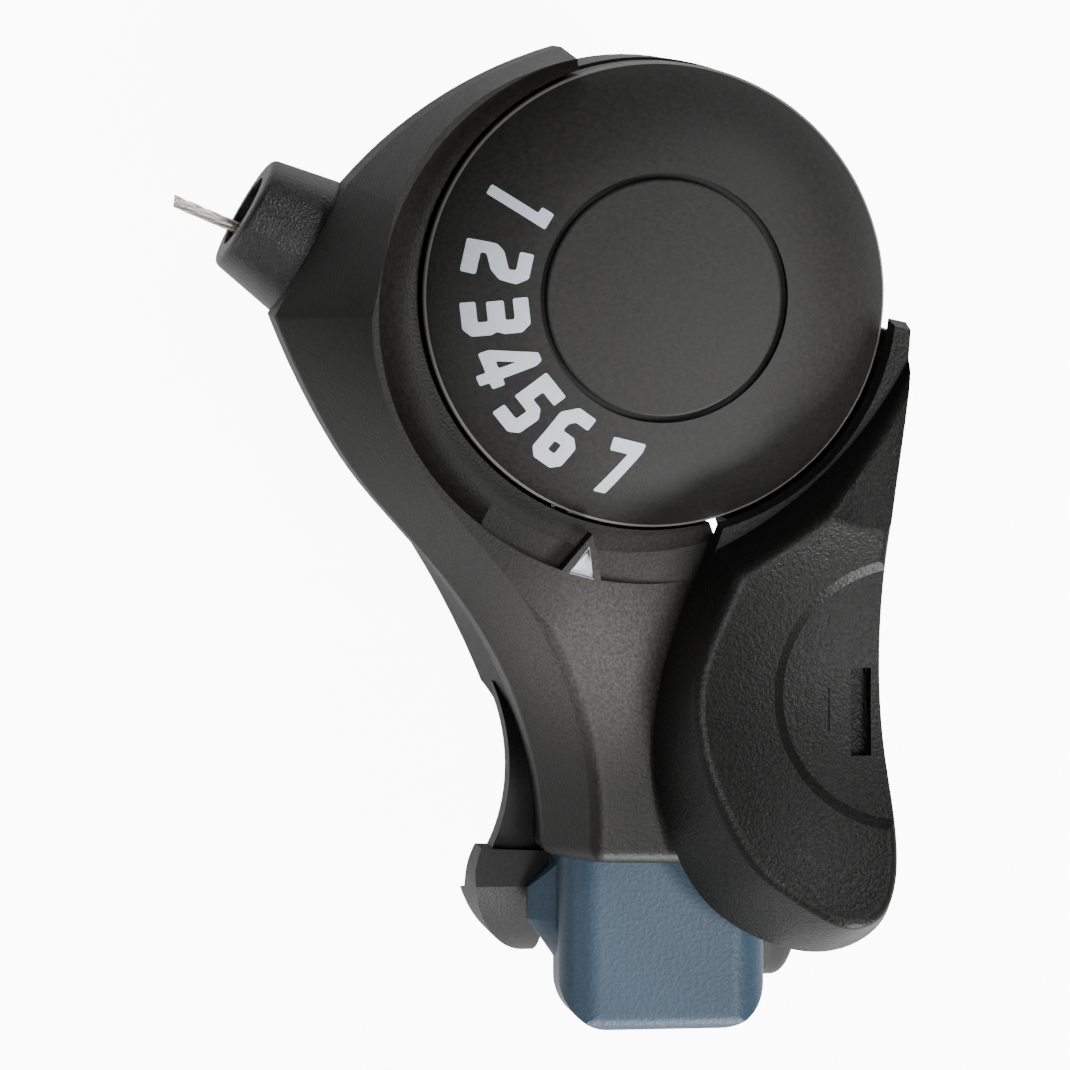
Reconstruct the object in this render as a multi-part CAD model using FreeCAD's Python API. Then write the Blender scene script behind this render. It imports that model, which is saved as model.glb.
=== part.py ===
import FreeCAD, Part
import math
import os

# Right-hand thumb gear shifter for a bicycle handlebar.
# Origin: middle of the handlebar bore. +X runs along the bar, +Y forward, +Z up along the dial's axis.

V = FreeCAD.Vector
UP = V(0, 0, 1)
ALONG_BAR = V(1, 0, 0)
FORWARD = V(0, 1, 0)

# Driving dimensions, in millimetres and degrees

# Handlebar clamp
BAR_DIAMETER = 22.2
CLAMP_WALL = 3.5
CLAMP_LEFT = 8.7
CLAMP_RIGHT = 14.0
SADDLE_WAIST = 3.8
SADDLE_FRONT = 10.5
EAR_LEFT_REACH = 2.7
EAR_LEFT_WIDTH = 7.2
EAR_RIGHT_REACH = 5.6
EAR_RIGHT_WIDTH = 2.4
EAR_FRONT = 5.8
EAR_LOW = 1.0
EAR_ROUND = 1.1
SLIT_WIDTH = 2.4
LUG_DROP = 9.0
LUG_THICKNESS = 7.0
LUG_WIDTH = 13.0
LUG_ROUND = 4.0
CLAMP_BOLT_DIAMETER = 5.0
BOLT_HEAD_DIAMETER = 8.5
BOLT_HEAD_HEIGHT = 5.0
BOLT_SOCKET = 4.0
NUT_ACROSS_FLATS = 8.0
NUT_HEIGHT = 4.0
NUT_SEAT = 3.0

# Heights of the seams and decks
FLOOR_Z = 4.5
FLOOR_THICKNESS = 2.0
SEAM_Z = 13.0
EDGE_Z = 19.5
CREST_Z = 29.0
SHELF_Z = 26.0
SHELF_X = 4.0
LEDGE_Z = 25.9
CUP_TOP_Z = 18.0
CABLE_Z = 11.5

# Dial and its recess
DIAL_Y = 49.5
DIAL_RADIUS = 22.5
DIAL_RIM_Z = 26.6
DIAL_RIM_ROUND = 0.5
DIAL_CROWN_Z = 32.8
DIAL_BULGE = 1.2
DIAL_WALL = 1.8
CAP_RADIUS = 11.4
CAP_GROOVE = 0.6
CAP_THICKNESS = 1.3
CAP_CROWN = 0.8
CAP_ROUND = 0.3
CAP_SKIRT = 3.0
CAP_SKIRT_WALL = 1.4
CAP_LEDGE = 1.2
RECESS_GAP = 0.4
WALL_END_ANGLE = 108.8
NECK_CORNER_ANGLE = -75.8

# Outline of the cover
LIP_END = 2.2
LIP_SHOULDER = 7.9
LEFT_CORNER = 13.3
NECK_LEFT = 10.1
NECK_RIGHT = 13.8
NECK_REAR = 5.6
NECK_CREST = 4.9
NECK_PITCH = 2.0
DISH_RADIUS = 25.6
DISH_SHIFT = 2.3
DISH_SHIFT_ANGLE = -130.0
DISH_LIP_Z = 25.3
DISH_WALL_RUN = 5.0
CREST_LAND = 0.6
BASE_FLARE = 1.2
LEDGE_WIDTH = 5.1
LEDGE_START_ANGLE = -128.0
POINTER_START = 0.9
POINTER_LENGTH = 4.8
POINTER_WIDTH = 4.8
POINTER_ANGLE = -105.3
POINTER_INSET = 0.75
POINTER_DEPTH = 0.35
NECK_ROUND = 1.5
STRIP_ROUND = 1.0

# Moving core
AXLE_DIAMETER = 8.0
AXLE_HEAD_DIAMETER = 13.0
AXLE_HEAD_HEIGHT = 1.6
AXLE_HEAD_SINK = 0.8
AXLE_THREAD_DIAMETER = 6.0
AXLE_NUT_FLATS = 10.0
AXLE_NUT_HEIGHT = 3.0
WASHER_THICKNESS = 0.8
WASHER_DIAMETER = 15.0
RUNNING_FIT = 0.05
END_PLAY = 0.1
BUSH_WALL = 1.5
HUB_WALL = 2.4
HUB_TOP_Z = 24.4
SPOOL_RADIUS = 10.0
SPOOL_FLANGE = 12.6
SPOOL_FLANGE_THICKNESS = 1.9
SPOOL_GROOVE = 3.2
RATCHET_TIP = 17.2
RATCHET_DEPTH = 1.7
RATCHET_THICKNESS = 1.6
GEARS = 7
TRAVEL = 107.0
CUP_WALL = 2.0

# Cable and its stop
CABLE_DIAMETER = 1.2
CABLE_GAP = 0.3
CABLE_ANGLE = -23.5
CABLE_LEAD = 6.8
CABLE_WRAP = 40.0
NIPPLE_DIAMETER = 4.4
NIPPLE_LENGTH = 4.6
STOP_ROOT_DIAMETER = 14.4
STOP_END_DIAMETER = 11.6
STOP_ANGLE = -30.0
STOP_OFFSET = 12.5
STOP_ROOT_RUN = 29.8
STOP_BORE = 4.6
STOP_LENGTH = 7.2
STOP_ROUND = 0.8
STOP_SPIGOT_DIAMETER = 10.0
STOP_SPIGOT_LENGTH = 5.0
SOCKET_DIAMETER = 7.4
SOCKET_DEPTH = 6.0

# Thumb lever
LEVER_DISC_THICKNESS = 2.6
LEVER_FOOT_Z = 27.2
PADDLE_HEIGHT = 8.8
LEVER_TIP_ANGLE = -6.0
LEVER_HEEL_ANGLE = -74.5
LEVER_REAR = 64.0
LEVER_OVERHANG = 0.8
WEB_START_ANGLE = -72.0
WEB_END_ANGLE = -24.0
WEB_WIDTH = 3.6
WEB_TIP_ANGLE = -9.0
WEB_TIP_WIDTH = 1.1
HORN_SLOPE = 2.4
HORN_TIP_HEIGHT = 2.0
HORN_TIP_WIDTH = 1.8
HORN_DROP = 0.8
HORN_RUN = 30.0
HORN_HOLLOW_RADIUS = 20.0
LAND_HEIGHT = 1.8
LAND_WIDTH = 0.8
LAND_SHIFT = 17.9
LAND_ANGLE = 134.3
LAND_FLARE = 2.4
CREST_ROUND = 1.0
PADDLE_SHARE = 1.25
PAD_EDGE = 1.2
PAD_BACK = 38.5
PAD_BOWL_RADIUS = 45.0
PAD_BOWL_DEPTH = 5.0
PAD_RADIUS = 13.2
PAD_STEP = 0.5
PAD_STEP_SLOPE = 1.3
SLOT_WIDTH = 2.0
SLOT_LENGTH = 8.5
SLOT_INSET = 3.2
SLOT_DEPTH = 1.6
ARROW_INSET = 9.3
ARROW_LENGTH = 3.3
ARROW_DEPTH = 0.2

# Release button and pawl
BUTTON_LEFT = 8.3
BUTTON_RIGHT = 12.0
BUTTON_REAR = 22.8
BUTTON_SHOULDER = 4.0
BUTTON_FRONT = 3.0
BUTTON_TONGUE_LEFT = 6.5
BUTTON_TONGUE_RIGHT = 9.5
BUTTON_BOTTOM_Z = 15.2
BUTTON_TOP_Z = 22.6
BUTTON_CORNER = 5.0
BUTTON_CROWN = 3.6
BUTTON_ROUND = 1.8
SKIRT_WIDTH = 2.6
SKIRT_HEIGHT = 3.4
SKIRT_TOP_WIDTH = 0.3
SKIRT_LIP = 0.8
SKIRT_ROOT = 1.0
SKIRT_FRONT = 6.6
SKIRT_REAR = 17.5
BUTTON_TRAVEL = 3.5
BUTTON_GAP = 0.35
SLIDER_X = 3.4
SLIDER_WIDTH = 1.4
SLIDER_THICKNESS = 1.2
PAWL_X = -3.0
PAWL_BACK = 24.2
PAWL_ANGLE = -118.0
PAWL_GAP = 0.35
PAWL_ARM = 4.4
PAWL_PIN_DIAMETER = 3.0
PAWL_PIN_SINK = 3.0
PAWL_EYE_DIAMETER = 6.0
PAWL_TAIL = 6.4
PAWL_TAIL_WIDTH = 3.0
PAWL_TAIL_DROP = 0.8
PAWL_ROOM = 11.6
SPRING_WIRE = 0.7
SPRING_DIAMETER = 4.8
SPRING_TURNS = 4.0
SPRING_ROOM = 9.0
SPRING_X = -2.5
SPRING_Z = 19.3
LEAF_THICKNESS = 0.4
LEAF_POST = 2.6
LEAF_POST_LEFT = 8.6
LEAF_POST_BACK = 5.6

# Case screws
SCREW_DIAMETER = 2.6
SCREW_HEAD_DIAMETER = 5.2
SCREW_HEAD_HEIGHT = 1.8
SCREW_LENGTH = 13.0
FIT = 0.1

# Places worked out from the sizes above
BAR_RADIUS = BAR_DIAMETER / 2
CLAMP_RADIUS = BAR_RADIUS + CLAMP_WALL
CLAMP_MIDDLE = (CLAMP_RIGHT - CLAMP_LEFT) / 2
LUG_REACH = SLIT_WIDTH / 2 + LUG_THICKNESS
BOLT_Z = -CLAMP_RADIUS - LUG_DROP / 2
RECESS_RADIUS = DIAL_RADIUS + RECESS_GAP
CUP_RADIUS = RECESS_RADIUS - RECESS_GAP / 2
CUP_INSIDE = CUP_RADIUS - CUP_WALL
FLOOR_TOP_Z = FLOOR_Z + FLOOR_THICKNESS
CREST_RADIUS = DISH_RADIUS + CREST_LAND
SPOOL_TOP_Z = CABLE_Z + SPOOL_GROOVE / 2 + SPOOL_FLANGE_THICKNESS
SPOOL_BOTTOM_Z = CABLE_Z - SPOOL_GROOVE / 2 - SPOOL_FLANGE_THICKNESS
SPOOL_FOOT_Z = FLOOR_TOP_Z + WASHER_THICKNESS + END_PLAY
RATCHET_TOP_Z = SPOOL_TOP_Z + RATCHET_THICKNESS
LEVER_TOP_Z = LEVER_FOOT_Z + PADDLE_HEIGHT
LEVER_RIGHT = RECESS_RADIUS + LEVER_OVERHANG
PAD_X = LEVER_RIGHT - PAD_EDGE
HORN_TIP_Z = LEVER_FOOT_Z + HORN_TIP_HEIGHT
LAND_Z = LEVER_FOOT_Z + LAND_HEIGHT
LAND_RADIUS = LAND_SHIFT + RECESS_RADIUS + LAND_WIDTH
LEVER_DISC_Z = CUP_TOP_Z + RECESS_GAP
LEVER_DISC_TOP_Z = LEVER_DISC_Z + LEVER_DISC_THICKNESS
LEVER_DISC_RADIUS = DIAL_RADIUS - RECESS_GAP
AXLE_RADIUS = AXLE_DIAMETER / 2
AXLE_SHOULDER_Z = HUB_TOP_Z + END_PLAY
BUSH_RADIUS = AXLE_RADIUS + BUSH_WALL
HUB_RADIUS = BUSH_RADIUS + HUB_WALL
CAP_SEAT_Z = DIAL_CROWN_Z - CAP_THICKNESS
SLIDER_Z = BUTTON_BOTTOM_Z
INNER_ROOF_Z = RATCHET_TOP_Z + 1.0
SCREW_HEAD_Z = FLOOR_Z + 0.2


def along(angle, length=1.0):
    """A step of the given length in the direction of an angle, in plan."""
    turn = math.radians(angle)
    return V(length * math.cos(turn), length * math.sin(turn), 0)


def dial_point(radius, angle, z=0.0):
    """A point placed by radius and angle about the dial's axis."""
    return V(0, DIAL_Y, z) + along(angle, radius)


def neck_point(x, share, z=0.0):
    """A point of the neck, at a share of the way from the bar to the dial."""
    return V(x, share * DIAL_Y, z)


def lever_point(x, back, z=0.0):
    """A point of the lever, by its distance behind the dial's axis."""
    return V(x, DIAL_Y - back, z)


DISH_CENTRE = dial_point(DISH_SHIFT, DISH_SHIFT_ANGLE)
PAWL_PLACE = lever_point(PAWL_X, PAWL_BACK)
CABLE_OUT = along(CABLE_ANGLE + 180)
STOP_OUT = along(STOP_ANGLE + 180)
TANGENT_ANGLE = CABLE_ANGLE - 90
SCREW_PLACES = [
    dial_point(RECESS_RADIUS + 5.6, -160),
    dial_point(RECESS_RADIUS + 5.4, -121),
    dial_point(RECESS_RADIUS + 2.4, 163),
]


def crest_point(angle):
    """A point of the crest line round the dish."""
    return DISH_CENTRE + along(angle, CREST_RADIUS)


def cable_point(run):
    """A point on the cable's straight run, measured from the spool."""
    return dial_point(SPOOL_RADIUS, TANGENT_ANGLE, CABLE_Z) + CABLE_OUT * run


def stop_point(run):
    """A point on the cable stop's axis."""
    return dial_point(STOP_OFFSET, STOP_ANGLE - 90, CABLE_Z) + STOP_OUT * run


def cable_run():
    """Length of the cable's straight run, from the spool to its cut end."""
    end = stop_point(STOP_ROOT_RUN + STOP_LENGTH)
    return (end - cable_point(0)).dot(CABLE_OUT) + CABLE_LEAD


def raised(point, z):
    return V(point.x, point.y, z)


def cylinder(diameter, start, direction, length):
    return Part.makeCylinder(diameter / 2, length, start, direction)


def dial_disc(radius, low, high):
    return Part.makeCylinder(radius, high - low, V(0, DIAL_Y, low), UP)


def dial_ring(outer, inner, low, high):
    return dial_disc(outer, low, high).cut(dial_disc(inner, low, high))


def box(low, high):
    size = high - low
    return Part.makeBox(size.x, size.y, size.z, low)


def line(start, end):
    return Part.LineSegment(start, end).toShape()


def arc(start, middle, end):
    return Part.Arc(start, middle, end).toShape()


def curve(points):
    """A smooth curve through the points."""
    spline = Part.BSplineCurve()
    spline.interpolate(points)
    return spline.toShape()


def polygon(points):
    return [line(a, b) for a, b in zip(points, points[1:] + points[:1])]


def prism(edges, low, high):
    """An upright solid on a plan outline."""
    outline = Part.Wire(edges).translated(V(0, 0, low))
    return Part.Face(outline).extrude(V(0, 0, high - low))


def loft(lower, low, upper, high):
    """A solid ruled between two plan outlines that match edge for edge."""
    foot = Part.Wire(lower).translated(V(0, 0, low))
    head = Part.Wire(upper).translated(V(0, 0, high))
    return Part.makeLoft([foot, head], True, True)


def turned(edges, centre):
    """A solid of revolution about an upright axis."""
    return Part.Face(Part.Wire(edges)).revolve(centre, UP, 360)


def half_section(centre, pairs):
    """Points of a half section, from pairs of radius and height."""
    return [V(centre.x + radius, centre.y, z) for radius, z in pairs]


def sector(inner, outer, start, end, low, high):
    """A piece of a ring about the dial's axis."""
    middle = (start + end) / 2
    edges = [
        arc(dial_point(inner, start), dial_point(inner, middle), dial_point(inner, end)),
        line(dial_point(inner, end), dial_point(outer, end)),
        arc(dial_point(outer, end), dial_point(outer, middle), dial_point(outer, start)),
        line(dial_point(outer, start), dial_point(inner, start)),
    ]
    return prism(edges, low, high)


def hexagon(across_flats, start, direction, length):
    """A hexagonal bar along a direction."""
    corners = [along(60 * i, across_flats / math.sqrt(3)) for i in range(6)]
    solid = Part.Face(Part.Wire(polygon(corners))).extrude(V(0, 0, length))
    solid.Placement = FreeCAD.Placement(start, FreeCAD.Rotation(UP, direction))
    return solid


def single(shape):
    """The one solid of a shape, free of split faces."""
    (solid,) = shape.removeSplitter().Solids
    return solid


def housing_edges(lip, shoulder, shoulder_bow, corner, sides, rear, notch):
    """A closed plan outline of the housing, drawn from lip to neck and back."""
    rear_left, rear_right, waist_right = rear
    centre = V(0, DIAL_Y, 0)
    return [
        arc(lip, shoulder_bow, shoulder),
        line(shoulder, corner),
        curve([corner] + sides + [rear_left]),
        line(rear_left, rear_right),
        line(rear_right, waist_right),
        line(waist_right, notch),
        line(notch, centre),
        line(centre, lip),
    ]


def wall_edges():
    """Outline of the cover's side wall."""
    return housing_edges(
        dial_point(RECESS_RADIUS + LIP_END, WALL_END_ANGLE),
        dial_point(RECESS_RADIUS + LIP_SHOULDER, 160),
        dial_point(RECESS_RADIUS + LIP_END + 1.3, 131),
        dial_point(RECESS_RADIUS + LEFT_CORNER, 183.6),
        [
            dial_point(RECESS_RADIUS + LEFT_CORNER - 2.1, 198),
            dial_point(RECESS_RADIUS + LEFT_CORNER - 3.0, 213),
            neck_point(-NECK_LEFT - 10.9, 0.473),
            neck_point(-NECK_LEFT - 3.4, 0.238),
            neck_point(-NECK_LEFT - 0.4, 0.03),
        ],
        neck_end(-NECK_LEFT, NECK_RIGHT),
        dial_point(RECESS_RADIUS + 0.4, NECK_CORNER_ANGLE),
    )


def crest_edges():
    """Outline of the cover's crest, inside the side wall."""
    return housing_edges(
        dial_point(RECESS_RADIUS + LIP_END / 2, WALL_END_ANGLE),
        crest_point(156),
        crest_point(131),
        crest_point(180),
        [
            crest_point(199),
            crest_point(219),
            neck_point(-NECK_CREST - 8.3, 0.418),
            neck_point(-NECK_CREST - 2.4, 0.21),
            neck_point(-NECK_CREST - 0.2, 0.05),
        ],
        neck_end(-NECK_CREST, NECK_RIGHT - 0.8),
        dial_point(RECESS_RADIUS + 0.2, NECK_CORNER_ANGLE),
    )


def floor_edges():
    """Outline of the lower housing at its floor."""
    return housing_edges(
        dial_point(CUP_RADIUS - 0.2, WALL_END_ANGLE),
        dial_point(RECESS_RADIUS + LIP_SHOULDER - 2.5, 160),
        dial_point(RECESS_RADIUS + LIP_END - 0.6, 131),
        dial_point(RECESS_RADIUS + LEFT_CORNER - 2.5, 183.6),
        [
            dial_point(RECESS_RADIUS + LEFT_CORNER - 4.3, 198),
            dial_point(RECESS_RADIUS + LEFT_CORNER - 4.7, 213),
            neck_point(-NECK_LEFT - 10.6, 0.473),
            neck_point(-NECK_LEFT - 3.4 - BASE_FLARE, 0.238),
            neck_point(-NECK_LEFT - 0.2 - BASE_FLARE, 0.03),
        ],
        neck_end(-NECK_LEFT - BASE_FLARE, NECK_RIGHT + BASE_FLARE),
        dial_point(RECESS_RADIUS - 0.4, NECK_CORNER_ANGLE),
    )


def neck_end(left, right):
    """Rear corners of the neck, and where its right side turns in."""
    return V(left, -NECK_REAR, 0), V(right, -NECK_REAR - 1.0, 0), neck_point(right, 0.09)


def make_cover():
    """The moulded top shell: lip round the dial, sloping strip, neck and pointer."""
    wall = prism(wall_edges(), SEAM_Z, EDGE_Z)
    top = loft(wall_edges(), EDGE_Z, crest_edges(), CREST_Z)
    shell = single(wall.fuse(top).cut([neck_slope(), dish(), neck_ledge()]))
    shell = shell.makeFillet(STRIP_ROUND, strip_corners(shell))
    shell = shell.makeFillet(NECK_ROUND, neck_corners(shell))
    shell = shell.fuse(pointer(0).cut(neck_slope()))
    shell = shell.cut(dial_disc(RECESS_RADIUS, SEAM_Z, CREST_Z + LEVER_TOP_Z))
    window = pointer(POINTER_INSET).common(neck_slope().translated(V(0, 0, -POINTER_DEPTH)))
    return single(shell.cut([window] + cover_spaces()))


def strip_corners(shell):
    """Edges along the foot of the sloping strip, and across it at its corners."""
    left = [e for e in shell.Edges if e.BoundBox.XMax < -NECK_LEFT + 2 * FIT]
    foot = [e for e in left if abs(e.BoundBox.Center.z - EDGE_Z) < FIT and e.BoundBox.YMin < 0]
    across = [e for e in left if e.BoundBox.ZLength > CREST_Z - EDGE_Z - FIT]
    return foot + across


def neck_corners(shell):
    """Edges round the rear of the neck, and along its left crest."""
    corners = []
    for edge in shell.Edges:
        place = edge.BoundBox
        upright = place.ZLength > FIT or place.ZMin > EDGE_Z + FIT
        crease = place.YLength > NECK_REAR and abs(place.Center.x - SHELF_X) < FIT
        if place.YMin < FIT - NECK_REAR and upright and not crease:
            corners.append(edge)
    return corners


def neck_slope():
    """What is taken off the neck's top, so that it falls to a shelf under the lever."""
    start = V(-NECK_CREST - 8.0, 0, CREST_Z + 1.0)
    foot = V(SHELF_X, 0, SHELF_Z)
    edge = V(2 * NECK_RIGHT, 0, SHELF_Z)
    roof = CREST_Z + LEVER_TOP_Z
    corners = [start, foot, edge, V(edge.x, 0, roof), V(start.x, 0, roof)]
    solid = Part.Face(Part.Wire(polygon(corners))).extrude(FORWARD * (DIAL_Y + 4 * NECK_REAR))
    solid.translate(V(0, -4 * NECK_REAR, 0))
    solid.rotate(V(0, DIAL_Y - RECESS_RADIUS, SHELF_Z), ALONG_BAR, NECK_PITCH)
    return solid


def dish():
    """The sunken band between the crest and the dial, about a shifted axis."""
    foot = DISH_RADIUS - DISH_WALL_RUN
    a, b, c, d, e, f = half_section(
        DISH_CENTRE,
        [
            (0, DISH_LIP_Z),
            (foot, DISH_LIP_Z),
            (foot + 0.72 * DISH_WALL_RUN, DISH_LIP_Z + 1.3),
            (DISH_RADIUS, CREST_Z),
            (DISH_RADIUS, CREST_Z + LEVER_TOP_Z),
            (0, CREST_Z + LEVER_TOP_Z),
        ],
    )
    edges = [line(a, b), arc(b, c, d), line(d, e), line(e, f), line(f, a)]
    return turned(edges, DISH_CENTRE)


def neck_ledge():
    """The step that carries the sunken band across the top of the neck."""
    outer = RECESS_RADIUS + LEDGE_WIDTH
    return sector(CUP_INSIDE, outer, LEDGE_START_ANGLE, NECK_CORNER_ANGLE + 8, LEDGE_Z, 2 * CREST_Z)


def pointer(inset):
    """The triangle that points at the dial, drawn in from its outline by an inset."""
    apex = dial_point(RECESS_RADIUS + POINTER_START + 2.4 * inset, POINTER_ANGLE)
    base = dial_point(RECESS_RADIUS + POINTER_START + POINTER_LENGTH - inset, POINTER_ANGLE)
    side = along(POINTER_ANGLE + 90, POINTER_WIDTH / 2 - 1.5 * inset)
    corners = [apex, base - side, base + side]
    return prism(polygon(corners), DISH_LIP_Z - POINTER_START, CREST_Z)


def key_section(clearance, start, end):
    """The button's rounded section, drawn along Y and grown by a clearance."""
    left = -BUTTON_LEFT - clearance
    right = BUTTON_RIGHT + clearance
    top = BUTTON_TOP_Z + clearance
    block = box(V(left, start, BUTTON_BOTTOM_Z - clearance), V(right, end, top))
    crowns = [e for e in block.Edges if e.BoundBox.ZMin > top - FIT and e.BoundBox.XLength < FIT]
    return block.makeFillet(BUTTON_CROWN + clearance, crowns)


def skirt_edges(reach, clearance):
    """Plan outline of the button's skirt, for a reach beyond the key's left side."""
    left = -BUTTON_LEFT - reach - clearance
    root = -BUTTON_LEFT + SKIRT_ROOT
    corners = [
        V(root, -SKIRT_FRONT + SKIRT_ROOT + clearance, 0),
        V(left, -SKIRT_FRONT - reach + clearance, 0),
        V(left, -SKIRT_REAR + 2 * SKIRT_WIDTH, 0),
        V(root, -SKIRT_REAR, 0),
    ]
    return polygon(corners)


def button_skirt(clearance):
    """The flared lip on the button's left side, grown by a clearance."""
    low = BUTTON_BOTTOM_Z - clearance
    lip = BUTTON_BOTTOM_Z + SKIRT_LIP + clearance
    top = BUTTON_BOTTOM_Z + SKIRT_HEIGHT + clearance
    wide = skirt_edges(SKIRT_WIDTH, clearance)
    flare = loft(wide, lip, skirt_edges(SKIRT_TOP_WIDTH, clearance), top)
    return prism(wide, low, lip).fuse(flare)


def cover_spaces():
    """Hollows under the cover: button guide, spring well, pawl room, cable stop, screws."""
    roof = BUTTON_TOP_Z - BUTTON_CROWN + BUTTON_GAP
    head_front = BUTTON_TRAVEL - BUTTON_SHOULDER + BUTTON_GAP
    guide = key_section(BUTTON_GAP, -4 * NECK_REAR, head_front)
    under = box(
        V(-BUTTON_TONGUE_LEFT, -4 * NECK_REAR, SEAM_Z),
        V(BUTTON_TONGUE_RIGHT, head_front, BUTTON_BOTTOM_Z),
    )
    notch = button_skirt(BUTTON_GAP).translated(FORWARD * BUTTON_TRAVEL)
    well_roof = SPRING_Z + SPRING_DIAMETER / 2 + BUTTON_GAP
    well = box(
        V(-BUTTON_TONGUE_LEFT - BUTTON_GAP, -NECK_REAR, SEAM_Z),
        V(BUTTON_TONGUE_RIGHT + BUTTON_GAP, BUTTON_FRONT + SPRING_ROOM, well_roof),
    )
    tongue = box(
        V(-BUTTON_TONGUE_LEFT - BUTTON_GAP, -NECK_REAR, SEAM_Z),
        V(BUTTON_TONGUE_RIGHT + BUTTON_GAP, BUTTON_FRONT + BUTTON_TRAVEL + BUTTON_GAP, roof),
    )
    slider_end = DIAL_Y - CUP_INSIDE
    way = box(
        V(SLIDER_X - 3 * SLIDER_WIDTH, 0, SEAM_Z),
        V(SLIDER_X + SLIDER_WIDTH / 2 + BUTTON_GAP, slider_end, INNER_ROOF_Z),
    )
    room = cylinder(2 * PAWL_ROOM, raised(PAWL_PLACE, SEAM_Z), UP, INNER_ROOF_Z - SEAM_Z)
    left_of_wall = box(
        PAWL_PLACE + V(-2 * PAWL_ROOM, -2 * PAWL_ROOM, 0),
        PAWL_PLACE + V(PAWL_TAIL + PAWL_GAP, 2 * PAWL_ROOM, CREST_Z),
    )
    clamp_width = 4 * (CLAMP_LEFT + CLAMP_RIGHT)
    clamp_start = V(-clamp_width / 2, 0, 0)
    clamp = cylinder(2 * (CLAMP_RADIUS + FIT), clamp_start, ALONG_BAR, clamp_width)
    spaces = [guide, under, notch, well, tongue, way, room.common(left_of_wall), clamp, stop_blank(FIT)]
    for place in SCREW_PLACES:
        depth = SCREW_HEAD_Z + SCREW_LENGTH + FIT - SEAM_Z
        spaces.append(cylinder(SCREW_DIAMETER + FIT, raised(place, SEAM_Z), UP, depth))
    return spaces


def make_base():
    """The lower housing: cup for the spool, neck and handlebar clamp in one moulding."""
    body = loft(floor_edges(), FLOOR_Z, wall_edges(), SEAM_Z)
    cup = dial_disc(CUP_RADIUS, FLOOR_Z, CUP_TOP_Z)
    clamp_length = CLAMP_LEFT + CLAMP_RIGHT
    clamp = cylinder(2 * CLAMP_RADIUS, V(-CLAMP_LEFT, 0, 0), ALONG_BAR, clamp_length)
    post = cylinder(LEAF_POST, raised(leaf_points()[0], SEAM_Z), UP, RATCHET_TOP_Z - SEAM_Z)
    boss_height = SPOOL_TOP_Z - PAWL_GAP / 2 - SEAM_Z
    boss = cylinder(PAWL_EYE_DIAMETER, raised(PAWL_PLACE, SEAM_Z), UP, boss_height)
    body = body.fuse([cup, clamp, clamp_lugs(), clamp_saddle(), left_ear(), right_ear()])
    body = body.cut(dial_disc(CUP_INSIDE, FLOOR_TOP_Z, CUP_TOP_Z)).cut(pawl_window())
    body = body.fuse([post, boss])
    bar = cylinder(BAR_DIAMETER, V(-2 * clamp_length, 0, 0), ALONG_BAR, 4 * clamp_length)
    return single(body.cut([bar] + base_spaces()))


def clamp_saddle():
    """The waisted flank that carries the neck's left side into the clamp."""
    waist = -CLAMP_LEFT - SADDLE_WAIST
    front = V(waist - 1.1, SADDLE_FRONT, 0)
    rear = V(waist - 1.7, -EAR_FRONT, 0)
    inner = V(-CLAMP_LEFT + FIT, 0, 0)
    edges = [
        arc(front, V(waist, SADDLE_FRONT / 5, 0), rear),
        line(rear, V(inner.x, rear.y, 0)),
        line(V(inner.x, rear.y, 0), V(inner.x, front.y, 0)),
        line(V(inner.x, front.y, 0), front),
    ]
    ring = cylinder(2 * CLAMP_RADIUS, V(2 * waist, 0, 0), ALONG_BAR, -2 * waist)
    return ring.common(prism(edges, 0, CLAMP_RADIUS))


def left_ear():
    """The hooked cheek behind the bar, left of the release button."""
    radius = CLAMP_RADIUS + EAR_LEFT_REACH
    face = -CLAMP_LEFT - EAR_LEFT_WIDTH
    root = V(-CLAMP_LEFT + FIT, -EAR_FRONT, 0)
    hook = V(face + 0.6, -EAR_FRONT + 0.3, 0)
    end = V(root.x, -radius - FIT, 0)
    side = [
        hook,
        V(face, -0.47 * radius, 0),
        V(face + 0.7, -0.68 * radius, 0),
        V(face + 2.0, -0.82 * radius, 0),
        end,
    ]
    edges = [line(root, hook), curve(side), line(end, root)]
    disc = cylinder(2 * radius, V(2 * face, 0, 0), ALONG_BAR, -2 * face)
    return disc.common(prism(edges, -EAR_LOW, CLAMP_RADIUS))


def right_ear():
    """The thin cheek behind the bar, right of the release button."""
    radius = CLAMP_RADIUS + EAR_RIGHT_REACH
    face = CLAMP_RIGHT + EAR_RIGHT_WIDTH
    disc = cylinder(2 * radius, V(CLAMP_RIGHT, 0, 0), ALONG_BAR, EAR_RIGHT_WIDTH)
    ear = disc.common(box(V(0, -2 * radius, -EAR_LOW), V(2 * face, -EAR_FRONT, CLAMP_RADIUS)))
    outer = [e for e in ear.Edges if e.BoundBox.XMin > face - FIT and e.BoundBox.YMin < FIT - radius]
    return ear.makeFillet(EAR_ROUND, outer)


def clamp_lugs():
    """The two lugs under the bar that the clamp bolt draws together."""
    low = V(CLAMP_MIDDLE - LUG_WIDTH / 2, -LUG_REACH, -CLAMP_RADIUS - LUG_DROP)
    block = box(low, V(CLAMP_MIDDLE + LUG_WIDTH / 2, LUG_REACH, -BAR_RADIUS))
    bottom = [e for e in block.Edges if e.BoundBox.ZMax < low.z + FIT]
    lengthwise = [e for e in bottom if e.BoundBox.XLength < FIT]
    return block.makeFillet(LUG_ROUND, lengthwise)


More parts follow.
